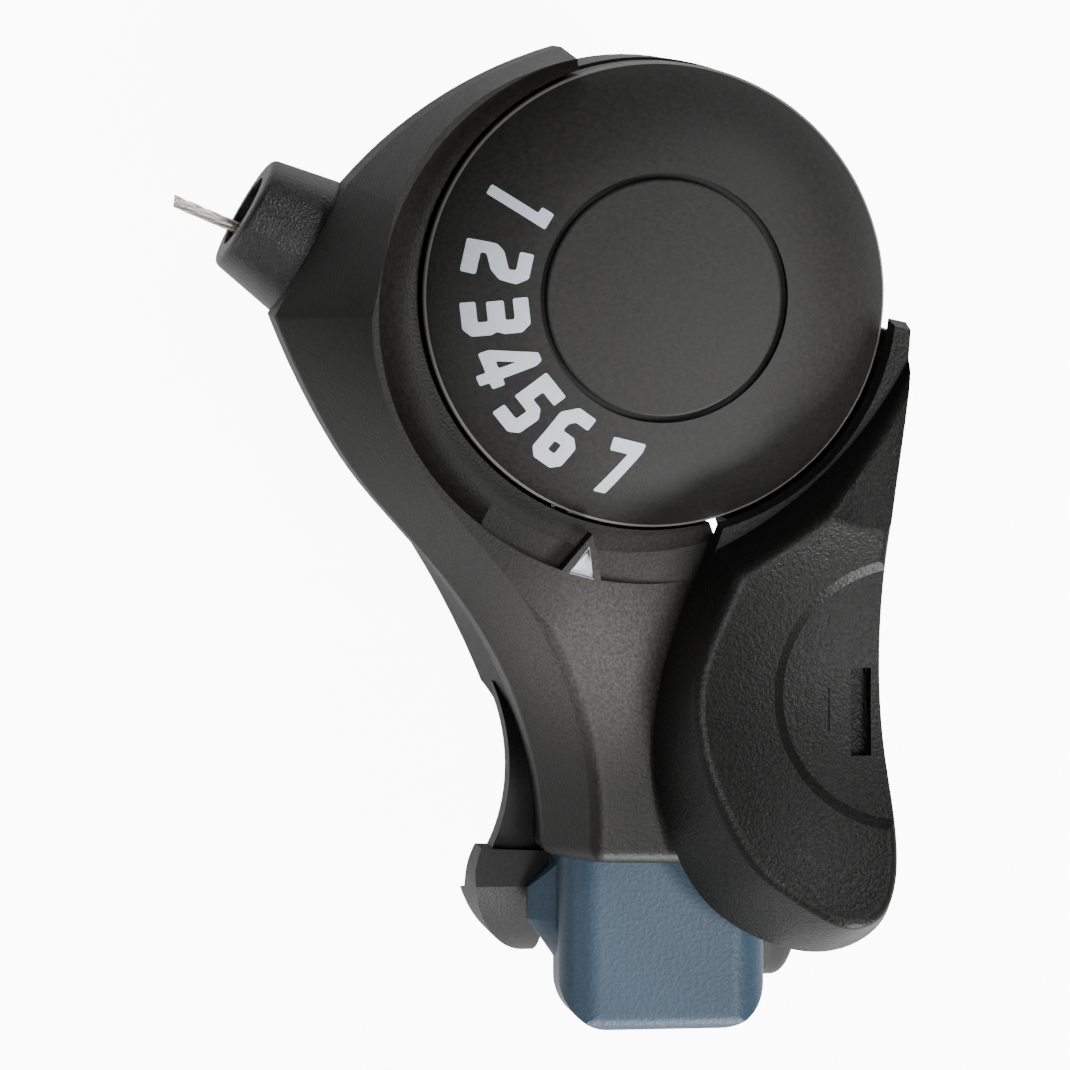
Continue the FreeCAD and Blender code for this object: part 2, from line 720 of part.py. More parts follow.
def base_spaces():
    """What is cut from the lower housing: slit, bolt, nut, cable way, screws and axle."""
    reach = 2 * (CLAMP_LEFT + CLAMP_RIGHT)
    slit = box(V(-reach, -SLIT_WIDTH / 2, -reach), V(reach, SLIT_WIDTH / 2, 0))
    bolt_start = V(CLAMP_MIDDLE, -LUG_REACH, BOLT_Z)
    bolt = cylinder(CLAMP_BOLT_DIAMETER + 2 * FIT, bolt_start, FORWARD, 2 * LUG_REACH)
    nut_start = V(CLAMP_MIDDLE, LUG_REACH - NUT_SEAT, BOLT_Z)
    nut = hexagon(NUT_ACROSS_FLATS + 2 * FIT, nut_start, FORWARD, NUT_SEAT)
    cable = cylinder(CABLE_DIAMETER + 2 * CABLE_GAP, cable_point(0), CABLE_OUT, cable_run())
    axle = dial_disc(AXLE_RADIUS + FIT, FLOOR_Z, FLOOR_TOP_Z)
    head = dial_disc(AXLE_HEAD_DIAMETER / 2 + FIT, FLOOR_Z, FLOOR_Z + AXLE_HEAD_SINK)
    pin_start = raised(PAWL_PLACE, SEAM_Z - PAWL_PIN_SINK)
    pin = cylinder(PAWL_PIN_DIAMETER + FIT, pin_start, UP, 2 * PAWL_PIN_SINK)
    spaces = [slit, bolt, nut, cable, axle, head, pin, stop_blank(FIT)]
    for place in SCREW_PLACES:
        start = raised(place, FLOOR_Z)
        spaces.append(cylinder(SCREW_DIAMETER + 2 * FIT, start, UP, SEAM_Z - FLOOR_Z))
        sink = SCREW_HEAD_Z - FLOOR_Z + SCREW_HEAD_HEIGHT
        spaces.append(cylinder(SCREW_HEAD_DIAMETER + 2 * FIT, start, UP, sink))
    return spaces


def pawl_window():
    """The gap in the cup's wall through which the pawl reaches the ratchet."""
    low = PAWL_PLACE + V(-PAWL_ROOM, -2 * PAWL_EYE_DIAMETER, SPOOL_TOP_Z - PAWL_GAP)
    return box(low, PAWL_PLACE + V(PAWL_TAIL + PAWL_GAP, PAWL_ROOM + PAWL_GAP, CUP_TOP_Z))


def stop_blank(clearance):
    """Outside form of the cable stop, grown by a clearance: spigot and tapered barrel."""
    spigot = cylinder(
        STOP_SPIGOT_DIAMETER + 2 * clearance,
        stop_point(STOP_ROOT_RUN - STOP_SPIGOT_LENGTH),
        STOP_OUT,
        STOP_SPIGOT_LENGTH,
    )
    root = STOP_ROOT_DIAMETER / 2 + clearance
    end = STOP_END_DIAMETER / 2 + clearance
    barrel = Part.makeCone(root, end, STOP_LENGTH, stop_point(STOP_ROOT_RUN), STOP_OUT)
    return spigot.fuse(barrel)


def make_cable_stop():
    """The tapered barrel that the outer casing butts into."""
    blank = single(stop_blank(0))
    end = stop_point(STOP_ROOT_RUN + STOP_LENGTH)
    rim = [e for e in blank.Edges if e.BoundBox.Center.distanceToPoint(end) < FIT]
    blank = blank.makeFillet(STOP_ROUND, rim)
    length = STOP_SPIGOT_LENGTH + STOP_LENGTH
    inner = stop_point(STOP_ROOT_RUN - STOP_SPIGOT_LENGTH)
    bore = cylinder(STOP_BORE, inner, STOP_OUT, length)
    socket = cylinder(SOCKET_DIAMETER, end, STOP_OUT * -1, SOCKET_DEPTH)
    return single(blank.cut([bore, socket]))


def make_axle():
    """The stepped steel axle, headed under the floor and threaded at the top."""
    head_z = FLOOR_Z + AXLE_HEAD_SINK
    head = dial_disc(AXLE_HEAD_DIAMETER / 2, head_z - AXLE_HEAD_HEIGHT, head_z)
    shaft = dial_disc(AXLE_RADIUS, head_z, AXLE_SHOULDER_Z)
    thread_top = AXLE_SHOULDER_Z + WASHER_THICKNESS + AXLE_NUT_HEIGHT + END_PLAY
    thread = dial_disc(AXLE_THREAD_DIAMETER / 2, AXLE_SHOULDER_Z, thread_top)
    return single(head.fuse([shaft, thread]))


def make_washer(low, hole):
    """A plain flat washer about the dial's axis."""
    return dial_ring(WASHER_DIAMETER / 2, hole / 2 + RUNNING_FIT, low, low + WASHER_THICKNESS)


def make_axle_nut():
    """The hexagon nut that closes the stack."""
    low = AXLE_SHOULDER_Z + WASHER_THICKNESS
    nut = hexagon(AXLE_NUT_FLATS, V(0, DIAL_Y, low), UP, AXLE_NUT_HEIGHT)
    return nut.cut(dial_disc(AXLE_THREAD_DIAMETER / 2 + RUNNING_FIT, low, low + AXLE_NUT_HEIGHT))


def make_bush():
    """The sleeve that turns on the axle, inside spool and lever."""
    return dial_ring(BUSH_RADIUS, AXLE_RADIUS + RUNNING_FIT, SPOOL_FOOT_Z, HUB_TOP_Z)


def nipple_place():
    return dial_point(SPOOL_RADIUS, TANGENT_ANGLE + CABLE_WRAP, CABLE_Z)


def make_spool():
    """The drum that winds the inner cable, with a pocket for its nipple."""
    core = SPOOL_RADIUS - CABLE_DIAMETER / 2 - CABLE_GAP
    low = CABLE_Z - SPOOL_GROOVE / 2
    high = CABLE_Z + SPOOL_GROOVE / 2
    solid = dial_disc(core, SPOOL_BOTTOM_Z, SPOOL_TOP_Z)
    solid = solid.fuse(dial_disc(SPOOL_FLANGE, SPOOL_BOTTOM_Z, low))
    solid = solid.fuse(dial_disc(SPOOL_FLANGE, high, SPOOL_TOP_Z))
    solid = solid.fuse(dial_disc(HUB_RADIUS, SPOOL_FOOT_Z, SPOOL_BOTTOM_Z))
    place = nipple_place()
    pocket_start = raised(place, SPOOL_BOTTOM_Z)
    depth = CABLE_Z + NIPPLE_LENGTH / 2 + CABLE_GAP - SPOOL_BOTTOM_Z
    pocket = cylinder(NIPPLE_DIAMETER + 2 * CABLE_GAP, pocket_start, UP, depth)
    bore = dial_disc(BUSH_RADIUS + RUNNING_FIT, SPOOL_FOOT_Z, SPOOL_TOP_Z)
    return single(solid.cut([pocket, bore]))


def make_ratchet():
    """The toothed steel plate: one saw tooth for each gear."""
    pitch = TRAVEL / (GEARS - 1)
    root = RATCHET_TIP - RATCHET_DEPTH
    plate = dial_disc(root, SPOOL_TOP_Z, RATCHET_TOP_Z)
    teeth = []
    for gear in range(GEARS):
        angle = PAWL_ANGLE - gear * pitch
        corners = [
            dial_point(root - RATCHET_DEPTH, angle),
            dial_point(RATCHET_TIP, angle),
            dial_point(root, angle + 0.8 * pitch),
            dial_point(root - RATCHET_DEPTH, angle + 0.8 * pitch),
        ]
        teeth.append(prism(polygon(corners), SPOOL_TOP_Z, RATCHET_TOP_Z))
    bore = dial_disc(BUSH_RADIUS + RUNNING_FIT, SPOOL_TOP_Z, RATCHET_TOP_Z)
    return single(plate.fuse(teeth).cut(bore))


def make_dial():
    """The domed gear dial, a shell that stands on the lever's disc."""
    seat = CAP_RADIUS + CAP_GROOVE
    ledge = CAP_RADIUS - CAP_LEDGE
    inside = DIAL_RADIUS - DIAL_WALL
    ledge_z = CAP_SEAT_Z - DIAL_WALL
    inner_rim_z = DIAL_RIM_Z - DIAL_WALL / 2
    dome = bulged(DIAL_RADIUS, DIAL_RIM_Z, seat, DIAL_CROWN_Z)
    vault = bulged(ledge, ledge_z, inside, inner_rim_z)
    points = half_section(
        V(0, DIAL_Y, 0),
        [
            (DIAL_RADIUS, LEVER_DISC_TOP_Z),
            (DIAL_RADIUS, DIAL_RIM_Z),
            dome,
            (seat, DIAL_CROWN_Z),
            (seat, CAP_SEAT_Z),
            (ledge, CAP_SEAT_Z),
            (ledge, ledge_z),
            vault,
            (inside, inner_rim_z),
            (inside, LEVER_DISC_TOP_Z),
        ],
    )
    edges = [
        line(points[0], points[1]),
        arc(points[1], points[2], points[3]),
        line(points[3], points[4]),
        line(points[4], points[5]),
        line(points[5], points[6]),
        arc(points[6], points[7], points[8]),
        line(points[8], points[9]),
        line(points[9], points[0]),
    ]
    dial = turned(edges, V(0, DIAL_Y, 0))
    rim = [e for e in dial.Edges if abs(e.BoundBox.ZMin - DIAL_RIM_Z) + e.BoundBox.ZLength < FIT]
    return dial.makeFillet(DIAL_RIM_ROUND, rim)


def bulged(radius_a, z_a, radius_b, z_b):
    """The middle of a bow between two points of a half section, bulging outwards."""
    run = abs(radius_b - radius_a)
    rise = abs(z_b - z_a)
    chord = math.hypot(run, rise)
    radius = (radius_a + radius_b) / 2 + DIAL_BULGE * rise / chord
    return radius, (z_a + z_b) / 2 + DIAL_BULGE * run / chord


def make_dial_cap():
    """The round cap in the dial's middle, on a skirt that snaps into the dial."""
    crown_z = CAP_SEAT_Z + CAP_THICKNESS + CAP_CROWN
    crown_radius = (CAP_RADIUS ** 2 + CAP_CROWN ** 2) / (2 * CAP_CROWN)
    crown = Part.makeSphere(crown_radius, V(0, DIAL_Y, crown_z - crown_radius))
    disc = dial_disc(CAP_RADIUS, CAP_SEAT_Z, crown_z).common(crown)
    skirt = CAP_RADIUS - CAP_LEDGE - RUNNING_FIT
    ring = dial_ring(skirt, skirt - CAP_SKIRT_WALL, CAP_SEAT_Z - CAP_SKIRT, CAP_SEAT_Z)
    edge_z = CAP_SEAT_Z + CAP_THICKNESS
    edge = [e for e in disc.Edges if abs(e.BoundBox.ZMin - edge_z) + e.BoundBox.ZLength < FIT]
    return single(disc.makeFillet(CAP_ROUND, edge).fuse(ring))


def lever_edges(inner, tip_angle, heel_angle, points):
    """A closed plan outline of the lever: along the dial, then round the paddle."""
    start = dial_point(inner, tip_angle)
    heel = dial_point(inner, heel_angle)
    middle = dial_point(inner, (tip_angle + heel_angle) / 2)
    return [arc(start, middle, heel), curve([heel] + points), line(points[-1], start)]


def lever_outline(share):
    """Plan outline of the lever's body, at a share of the way from its foot to its crest."""
    foot = [
        lever_point(3.3, 29.0),
        lever_point(0.7, 37.0),
        lever_point(0.0, 45.0),
        lever_point(1.3, 52.0),
        lever_point(5.0, LEVER_REAR - 5.0),
        lever_point(LEVER_RIGHT - 12.7, LEVER_REAR - 1.0),
        lever_point(LEVER_RIGHT - 6.2, LEVER_REAR),
        lever_point(LEVER_RIGHT - 1.4, LEVER_REAR - 2.7),
        lever_point(LEVER_RIGHT, LEVER_REAR - 8.5),
        lever_point(LEVER_RIGHT - 1.3, 45.0),
        lever_point(LEVER_RIGHT - 1.9, 34.0),
        lever_point(LEVER_RIGHT - 1.1, 22.0),
        lever_point(LEVER_RIGHT + 0.3, 11.0),
        dial_point(RECESS_RADIUS + HORN_TIP_WIDTH, LEVER_TIP_ANGLE - 0.5),
    ]
    crest = [
        lever_point(5.4, 30.2),
        lever_point(3.1, 36.0),
        lever_point(3.2, 43.0),
        lever_point(5.4, 49.0),
        lever_point(9.0, LEVER_REAR - 8.6),
        lever_point(LEVER_RIGHT - 10.1, LEVER_REAR - 5.2),
        lever_point(LEVER_RIGHT - 5.5, LEVER_REAR - 3.2),
        lever_point(LEVER_RIGHT - 2.4, LEVER_REAR - 4.6),
        lever_point(LEVER_RIGHT - 1.2, LEVER_REAR - 9.5),
        lever_point(LEVER_RIGHT - 2.2, 45.0),
        lever_point(LEVER_RIGHT - 2.8, 34.0),
        lever_point(LEVER_RIGHT - 1.9, 22.0),
        lever_point(LEVER_RIGHT - 0.2, 13.0),
        dial_point(RECESS_RADIUS + HORN_SLOPE + 0.7, LEVER_TIP_ANGLE - 7.5),
    ]
    points = [low + (high - low) * share for low, high in zip(foot, crest)]
    inner = RECESS_RADIUS + HORN_SLOPE * share
    return lever_edges(inner, LEVER_TIP_ANGLE - 7.0 * share, LEVER_HEEL_ANGLE + 1.5 * share, points)


def make_lever():
    """The thumb lever: disc and hub under the dial, web round its rim, dished paddle."""
    top = LEVER_FOOT_Z + PADDLE_SHARE * (LEVER_TOP_Z - LEVER_FOOT_Z)
    paddle = loft(lever_outline(0), LEVER_FOOT_Z, lever_outline(PADDLE_SHARE), top)
    paddle = single(paddle.cut([horn_hollow(), horn_land(), paddle_bowl()]))
    ridge = [e for e in paddle.Edges if e.BoundBox.ZMax > LEVER_TOP_Z - CREST_ROUND]
    paddle = paddle.makeFillet(CREST_ROUND, ridge).cut([thumb_pad(), pad_slot(), pad_arrow()])
    outer = RECESS_RADIUS + WEB_WIDTH
    web = sector(RECESS_RADIUS, outer, WEB_START_ANGLE, WEB_END_ANGLE, LEVER_DISC_Z, LEVER_FOOT_Z)
    edge = RECESS_RADIUS + WEB_TIP_WIDTH
    tip = sector(RECESS_RADIUS, edge, WEB_END_ANGLE, WEB_TIP_ANGLE, LEVER_DISC_Z, LEVER_FOOT_Z)
    inner = LEVER_DISC_RADIUS - WEB_WIDTH
    root = sector(inner, outer, WEB_START_ANGLE, WEB_END_ANGLE, LEVER_DISC_Z, LEVER_DISC_TOP_Z)
    disc = dial_disc(LEVER_DISC_RADIUS, LEVER_DISC_Z, LEVER_DISC_TOP_Z)
    hub = dial_disc(HUB_RADIUS, RATCHET_TOP_Z, HUB_TOP_Z)
    bore = dial_disc(BUSH_RADIUS + RUNNING_FIT, RATCHET_TOP_Z, HUB_TOP_Z)
    return single(disc.fuse([hub, root, web, tip, paddle]).cut(bore))


def horn_hollow():
    """The trough along the horn, falling from the paddle's hollow to the tip."""
    tip = lever_point(LEVER_RIGHT, 0, HORN_TIP_Z)
    run = lever_point(LEVER_RIGHT, HORN_RUN, LEVER_TOP_Z - HORN_DROP) - tip
    lift = ALONG_BAR.cross(run * -1).normalize() * HORN_HOLLOW_RADIUS
    return cylinder(2 * HORN_HOLLOW_RADIUS, tip + lift - run, run, 3 * run.Length)


def horn_land():
    """What is taken off along the dial, leaving a low land that narrows from the tip to the heel."""
    height = 2 * (LEVER_TOP_Z - LAND_Z)
    flare = LAND_RADIUS + 2 * LAND_FLARE
    return Part.makeCone(LAND_RADIUS, flare, height, dial_point(LAND_SHIFT, LAND_ANGLE, LAND_Z), UP)


def paddle_bowl():
    """The broad hollow of the paddle."""
    height = LEVER_TOP_Z - PAD_BOWL_DEPTH + PAD_BOWL_RADIUS
    return Part.makeSphere(PAD_BOWL_RADIUS, lever_point(PAD_X, PAD_BACK, height))


def thumb_pad():
    """The stepped round pad in the hollow, under the thumb."""
    bowl = paddle_bowl().translated(V(0, 0, -PAD_STEP))
    floor = lever_point(PAD_X + 1.0, PAD_BACK, LEVER_TOP_Z - PAD_BOWL_DEPTH - PAD_STEP)
    height = 2 * PAD_BOWL_DEPTH
    foot = PAD_RADIUS - PAD_STEP_SLOPE * (PAD_RADIUS ** 2 / (2 * PAD_BOWL_RADIUS) + PAD_STEP)
    return bowl.common(Part.makeCone(foot, foot + PAD_STEP_SLOPE * height, height, floor, UP))


def below_pad(depth, outline):
    """A recess of an even depth in the pad's hollow, on a plan outline."""
    bowl = paddle_bowl().translated(V(0, 0, -PAD_STEP - depth))
    return bowl.common(prism(outline, LEVER_FOOT_Z, LEVER_TOP_Z))


def pad_slot():
    """The slot near the pad's outer edge."""
    x = LEVER_RIGHT - 1.9 - SLOT_INSET
    low = lever_point(x, PAD_BACK + 1.8 + SLOT_LENGTH / 2)
    high = lever_point(x + SLOT_WIDTH, PAD_BACK + 1.8 - SLOT_LENGTH / 2)
    corners = [low, V(high.x, low.y, 0), high, V(low.x, high.y, 0)]
    return below_pad(SLOT_DEPTH, polygon(corners))


def pad_arrow():
    """The shallow triangle that points away from the slot."""
    point = lever_point(PAD_X - ARROW_INSET, PAD_BACK + 1.5)
    half = V(0, 0.64 * ARROW_LENGTH, 0)
    base = point + ALONG_BAR * ARROW_LENGTH
    return below_pad(ARROW_DEPTH, polygon([point, base - half, base + half]))


def make_button():
    """The release button: a rounded thumb key with a narrower tongue under the cover."""
    front = -BUTTON_SHOULDER
    key = key_section(0, -BUTTON_REAR, front)
    plan = [
        V(-BUTTON_LEFT, front, 0),
        V(-BUTTON_LEFT, -BUTTON_REAR, 0),
        V(BUTTON_RIGHT, -BUTTON_REAR, 0),
        V(BUTTON_RIGHT, front, 0),
    ]
    outline = prism(polygon(plan), BUTTON_BOTTOM_Z, BUTTON_TOP_Z)
    corners = [e for e in outline.Edges if e.BoundBox.ZLength > FIT and e.BoundBox.YMax < front - FIT]
    side = box(V(-2 * BUTTON_LEFT, -BUTTON_REAR, BUTTON_BOTTOM_Z), V(2 * BUTTON_RIGHT, front, BUTTON_TOP_Z))
    high = [e for e in side.Edges if e.BoundBox.ZMin > BUTTON_TOP_Z - FIT]
    rear = [e for e in high if e.BoundBox.YMax < FIT - BUTTON_REAR]
    key = key.common(outline.makeFillet(BUTTON_CORNER, corners)).common(side.makeFillet(BUTTON_ROUND, rear))
    key = key.fuse(button_skirt(0))
    tongue = box(
        V(-BUTTON_TONGUE_LEFT, front, BUTTON_BOTTOM_Z),
        V(BUTTON_TONGUE_RIGHT, BUTTON_FRONT, BUTTON_TOP_Z - BUTTON_CROWN),
    )
    return single(key.fuse(tongue))


def make_slider():
    """The steel strip that carries the button's push to the pawl."""
    end = PAWL_PLACE.y - PAWL_TAIL_DROP - PAWL_TAIL_WIDTH / 2 - PAWL_GAP
    width = 2 * SLIDER_WIDTH
    right = SLIDER_X + SLIDER_WIDTH / 2
    low = V(right - width, BUTTON_FRONT, SLIDER_Z)
    strip = box(low, V(right, end - width, SLIDER_Z + SLIDER_THICKNESS))
    tip_low = V(right - SLIDER_WIDTH, BUTTON_FRONT, SLIDER_Z)
    tip = box(tip_low, V(right, end, SLIDER_Z + SLIDER_THICKNESS))
    return single(strip.fuse(tip))


def pawl_tip():
    return dial_point(RATCHET_TIP + PAWL_GAP, PAWL_ANGLE)


def make_pawl():
    """The holding pawl: eye, hooked arm towards the ratchet, tail for the slider."""
    reach = pawl_tip() - PAWL_PLACE
    side = V(-reach.y, reach.x, 0).normalize() * (PAWL_ARM / 2)
    arm = [PAWL_PLACE + side, PAWL_PLACE - side, pawl_tip(), PAWL_PLACE + reach * 0.8 + side]
    tail_end = PAWL_PLACE + V(PAWL_TAIL, -PAWL_TAIL_DROP, 0)
    half = V(0, PAWL_TAIL_WIDTH / 2, 0)
    tail = [PAWL_PLACE - half, tail_end - half, tail_end + half, PAWL_PLACE + half]
    eye = cylinder(PAWL_EYE_DIAMETER, raised(PAWL_PLACE, SPOOL_TOP_Z), UP, RATCHET_THICKNESS)
    solids = [prism(polygon(p), SPOOL_TOP_Z, RATCHET_TOP_Z) for p in (arm, tail)]
    hole_start = raised(PAWL_PLACE, SPOOL_TOP_Z)
    hole = cylinder(PAWL_PIN_DIAMETER + 2 * RUNNING_FIT, hole_start, UP, RATCHET_THICKNESS)
    return single(eye.fuse(solids).cut(hole))


def make_pawl_pin():
    """The pin that the pawl swings on."""
    start = raised(PAWL_PLACE, SEAM_Z - PAWL_PIN_SINK)
    return cylinder(PAWL_PIN_DIAMETER, start, UP, RATCHET_TOP_Z + END_PLAY - start.z)


def leaf_points():
    """The leaf spring's line: post, bend, and rest on the back of the pawl's arm."""
    reach = pawl_tip() - PAWL_PLACE
    side = V(-reach.y, reach.x, 0).normalize()
    touch = PAWL_PLACE + reach * 0.55 + side * (PAWL_ARM / 2 + LEAF_THICKNESS + FIT)
    return PAWL_PLACE + V(-LEAF_POST_LEFT, -LEAF_POST_BACK, 0), touch


def make_pawl_spring():
    """The flat leaf that presses the pawl towards the ratchet."""
    post, touch = leaf_points()
    run = (touch - post).normalize()
    side = V(-run.y, run.x, 0)
    start = post - side * (LEAF_POST / 2 + LEAF_THICKNESS + PAWL_GAP) - run * (LEAF_POST / 2)
    thick = side * LEAF_THICKNESS
    corners = [start, touch, touch + thick, start + thick]
    return prism(polygon(corners), SPOOL_TOP_Z + END_PLAY, RATCHET_TOP_Z - END_PLAY)


def make_release_spring():
    """The coil spring that pushes the release button back."""
    length = SPRING_ROOM - SPRING_WIRE - 2 * FIT
    radius = (SPRING_DIAMETER - SPRING_WIRE) / 2
    path = Part.makeHelix(length / SPRING_TURNS, length, radius)
    ring = Part.Wire(Part.makeCircle(SPRING_WIRE / 2, V(radius, 0, 0), FORWARD))
    coil = Part.Wire(path).makePipeShell([ring], True, True)
    start = V(SPRING_X, BUTTON_FRONT + SPRING_WIRE / 2 + FIT, SPRING_Z)
    coil.Placement = FreeCAD.Placement(start, FreeCAD.Rotation(UP, FORWARD))
    return coil


def make_cable():
    """The inner cable: nipple in the spool, part of a turn, straight run, cut end."""
    start = nipple_place()
    middle = dial_point(SPOOL_RADIUS, TANGENT_ANGLE + CABLE_WRAP / 2, CABLE_Z)
    end = cable_point(cable_run())
    path = Part.Wire([arc(start, middle, cable_point(0)), line(cable_point(0), end)])
    heading = along(TANGENT_ANGLE + CABLE_WRAP - 90)
    ring = Part.Wire(Part.makeCircle(CABLE_DIAMETER / 2, start, heading))
    strand = path.makePipeShell([ring], True, False)
    low = raised(start, CABLE_Z - NIPPLE_LENGTH / 2)
    return single(strand.fuse(cylinder(NIPPLE_DIAMETER, low, UP, NIPPLE_LENGTH)))


def make_case_screws():
    """Three screws from below that hold the cover on the lower housing."""
    screws = []
    for place in SCREW_PLACES:
        head = cylinder(SCREW_HEAD_DIAMETER, raised(place, SCREW_HEAD_Z), UP, SCREW_HEAD_HEIGHT)
        shank = cylinder(SCREW_DIAMETER, raised(place, SCREW_HEAD_Z), UP, SCREW_LENGTH)
        slot_half = V(SCREW_HEAD_DIAMETER, SCREW_HEAD_HEIGHT / 6, 0)
        low = raised(place - slot_half, SCREW_HEAD_Z)
        slot = box(low, raised(place + slot_half, SCREW_HEAD_Z + SCREW_HEAD_HEIGHT / 2))
        screws.append(single(head.fuse(shank).cut(slot)))
    return Part.makeCompound(screws)


def make_clamp_bolt():
    """The socket-head bolt through the lugs."""
    start = V(CLAMP_MIDDLE, -LUG_REACH - BOLT_HEAD_HEIGHT, BOLT_Z)
    head = cylinder(BOLT_HEAD_DIAMETER, start, FORWARD, BOLT_HEAD_HEIGHT)
    shank_length = BOLT_HEAD_HEIGHT + 2 * LUG_REACH - NUT_SEAT + NUT_HEIGHT
    shank = cylinder(CLAMP_BOLT_DIAMETER, start, FORWARD, shank_length)
    socket = hexagon(BOLT_SOCKET, start, FORWARD, BOLT_HEAD_HEIGHT / 2)
    return single(head.fuse(shank).cut(socket))


def make_clamp_nut():
    """The captive nut in the front lug."""
    start = V(CLAMP_MIDDLE, LUG_REACH - NUT_SEAT, BOLT_Z)
    nut = hexagon(NUT_ACROSS_FLATS, start, FORWARD, NUT_HEIGHT)
    return nut.cut(cylinder(CLAMP_BOLT_DIAMETER + 2 * RUNNING_FIT, start, FORWARD, NUT_HEIGHT))


def main():
    pieces = {
        "top_cover": make_cover(),
        "base_body": make_base(),
        "cable_stop": make_cable_stop(),
        "axle": make_axle(),
        "thrust_washer": make_washer(FLOOR_TOP_Z, AXLE_DIAMETER),
        "axle_washer": make_washer(AXLE_SHOULDER_Z, AXLE_THREAD_DIAMETER),
        "axle_nut": make_axle_nut(),
        "axle_bush": make_bush(),
        "spool": make_spool(),
        "ratchet_plate": make_ratchet(),
        "dial": make_dial(),
        "dial_cap": make_dial_cap(),
        "thumb_lever": make_lever(),
        "release_button": make_button(),
        "release_slider": make_slider(),
        "release_spring": make_release_spring(),
        "pawl": make_pawl(),
        "pawl_pin": make_pawl_pin(),
        "pawl_spring": make_pawl_spring(),
        "inner_cable": make_cable(),
        "case_screws": make_case_screws(),
        "clamp_bolt": make_clamp_bolt(),
        "clamp_nut": make_clamp_nut(),
    }
    os.makedirs("parts", exist_ok=True)
    for name, shape in pieces.items():
        print(name, len(shape.Solids), shape.isValid(), round(shape.Volume, 1))
        shape.exportStep("parts/" + name + ".step")


main()
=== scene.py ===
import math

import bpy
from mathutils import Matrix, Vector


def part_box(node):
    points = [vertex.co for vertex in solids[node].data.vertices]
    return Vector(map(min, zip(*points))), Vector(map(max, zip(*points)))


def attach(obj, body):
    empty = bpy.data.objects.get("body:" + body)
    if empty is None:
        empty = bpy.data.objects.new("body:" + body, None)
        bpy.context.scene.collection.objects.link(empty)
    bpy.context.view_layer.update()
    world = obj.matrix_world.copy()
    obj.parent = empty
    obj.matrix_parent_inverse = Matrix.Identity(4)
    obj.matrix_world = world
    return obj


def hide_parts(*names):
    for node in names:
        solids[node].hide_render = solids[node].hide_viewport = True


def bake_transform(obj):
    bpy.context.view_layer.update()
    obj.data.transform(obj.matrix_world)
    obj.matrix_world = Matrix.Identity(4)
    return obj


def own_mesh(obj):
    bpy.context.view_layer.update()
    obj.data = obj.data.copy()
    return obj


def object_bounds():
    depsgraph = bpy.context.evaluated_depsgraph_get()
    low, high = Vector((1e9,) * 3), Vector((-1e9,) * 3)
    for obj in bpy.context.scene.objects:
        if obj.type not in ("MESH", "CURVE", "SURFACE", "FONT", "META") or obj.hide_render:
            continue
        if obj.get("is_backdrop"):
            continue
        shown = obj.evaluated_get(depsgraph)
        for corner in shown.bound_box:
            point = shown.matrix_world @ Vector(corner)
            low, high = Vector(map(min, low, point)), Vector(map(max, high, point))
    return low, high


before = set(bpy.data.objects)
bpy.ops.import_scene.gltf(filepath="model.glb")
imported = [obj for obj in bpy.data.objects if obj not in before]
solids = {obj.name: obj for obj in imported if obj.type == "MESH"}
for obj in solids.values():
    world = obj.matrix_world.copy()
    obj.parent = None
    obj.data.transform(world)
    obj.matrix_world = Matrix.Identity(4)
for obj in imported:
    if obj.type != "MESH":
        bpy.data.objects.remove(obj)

# %% [markdown]
# A thumb gear shifter sits on a handlebar: a dial shows the gear, a dished lever turns it, a slate
# button lets the cable run back, and a barrel on the left leads the cable out.
# The solids come in already placed, in metres, so this lesson dresses them: light, finishes, printed
# numerals, the stranded cable and the two springs that move.

MM = 0.001
cad_low, cad_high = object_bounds()
print(len(solids), "solids in a box of", [round(side / MM, 1) for side in cad_high - cad_low], "mm")

# %% [markdown]
# The photograph looks almost straight down on the dial, from far away with a long lens, tipped a
# little so that the left flank shows. A camera turned by three unit vectors says that exactly: its
# right, its up and its back. Aiming it by eye with angles would take many tries.

# %% Camera
VIEW_AIM = Vector((-11.7, 26.4, 27.0)) * MM
VIEW_BACK = Vector((-0.1366, 0.0818, 0.987)).normalized()
VIEW_DISTANCE = 800 * MM
LENS = 279.0
SENSOR = 36.0
NEAREST = 10 * MM
view_right = Vector((0, 1, 0)).cross(VIEW_BACK).normalized()
view_up = VIEW_BACK.cross(view_right)
camera_data = bpy.data.cameras.new("camera")
camera_data.lens = LENS
camera_data.sensor_width = SENSOR
camera_data.clip_start = NEAREST
camera = bpy.data.objects.new("camera", camera_data)
camera.location = VIEW_AIM + VIEW_BACK * VIEW_DISTANCE
camera.rotation_euler = Matrix((view_right, view_up, VIEW_BACK)).transposed().to_euler()
bpy.context.scene.collection.objects.link(camera)
bpy.context.scene.camera = camera
print("camera", [round(v, 3) for v in camera.location])

# %% [markdown]
# Black plastic shows its form by what it mirrors. A broad, weak softbox overhead brightens what
# faces up, a key light and a small lamp model the dome of the dial, and a strong low box beyond the
# button draws the streaks on the lever's rim. Smaller ones on the left and beyond the dial keep those
# flanks from going black. An even white world would wash every edge away, so the world is dim.

# %% Softboxes
SUBJECT = Vector((-8, 30, 15)) * MM
WORLD_STRENGTH = 0.09
SOFTBOXES = {  # name: place in mm, side in mm, watts
    "key": ((260, -140, 650), 180, 2.7),
    "sky": ((0, -60, 760), 800, 1.2),
    "lamp": ((-45, -60, 800), 60, 0.6),
    "rear_top": ((60, -330, 600), 200, 0.5),
    "rear_low": ((220, -560, 190), 260, 8.0),
    "front_right": ((340, 380, 500), 120, 2.0),
    "left": ((-540, -160, 280), 240, 0.7),
}


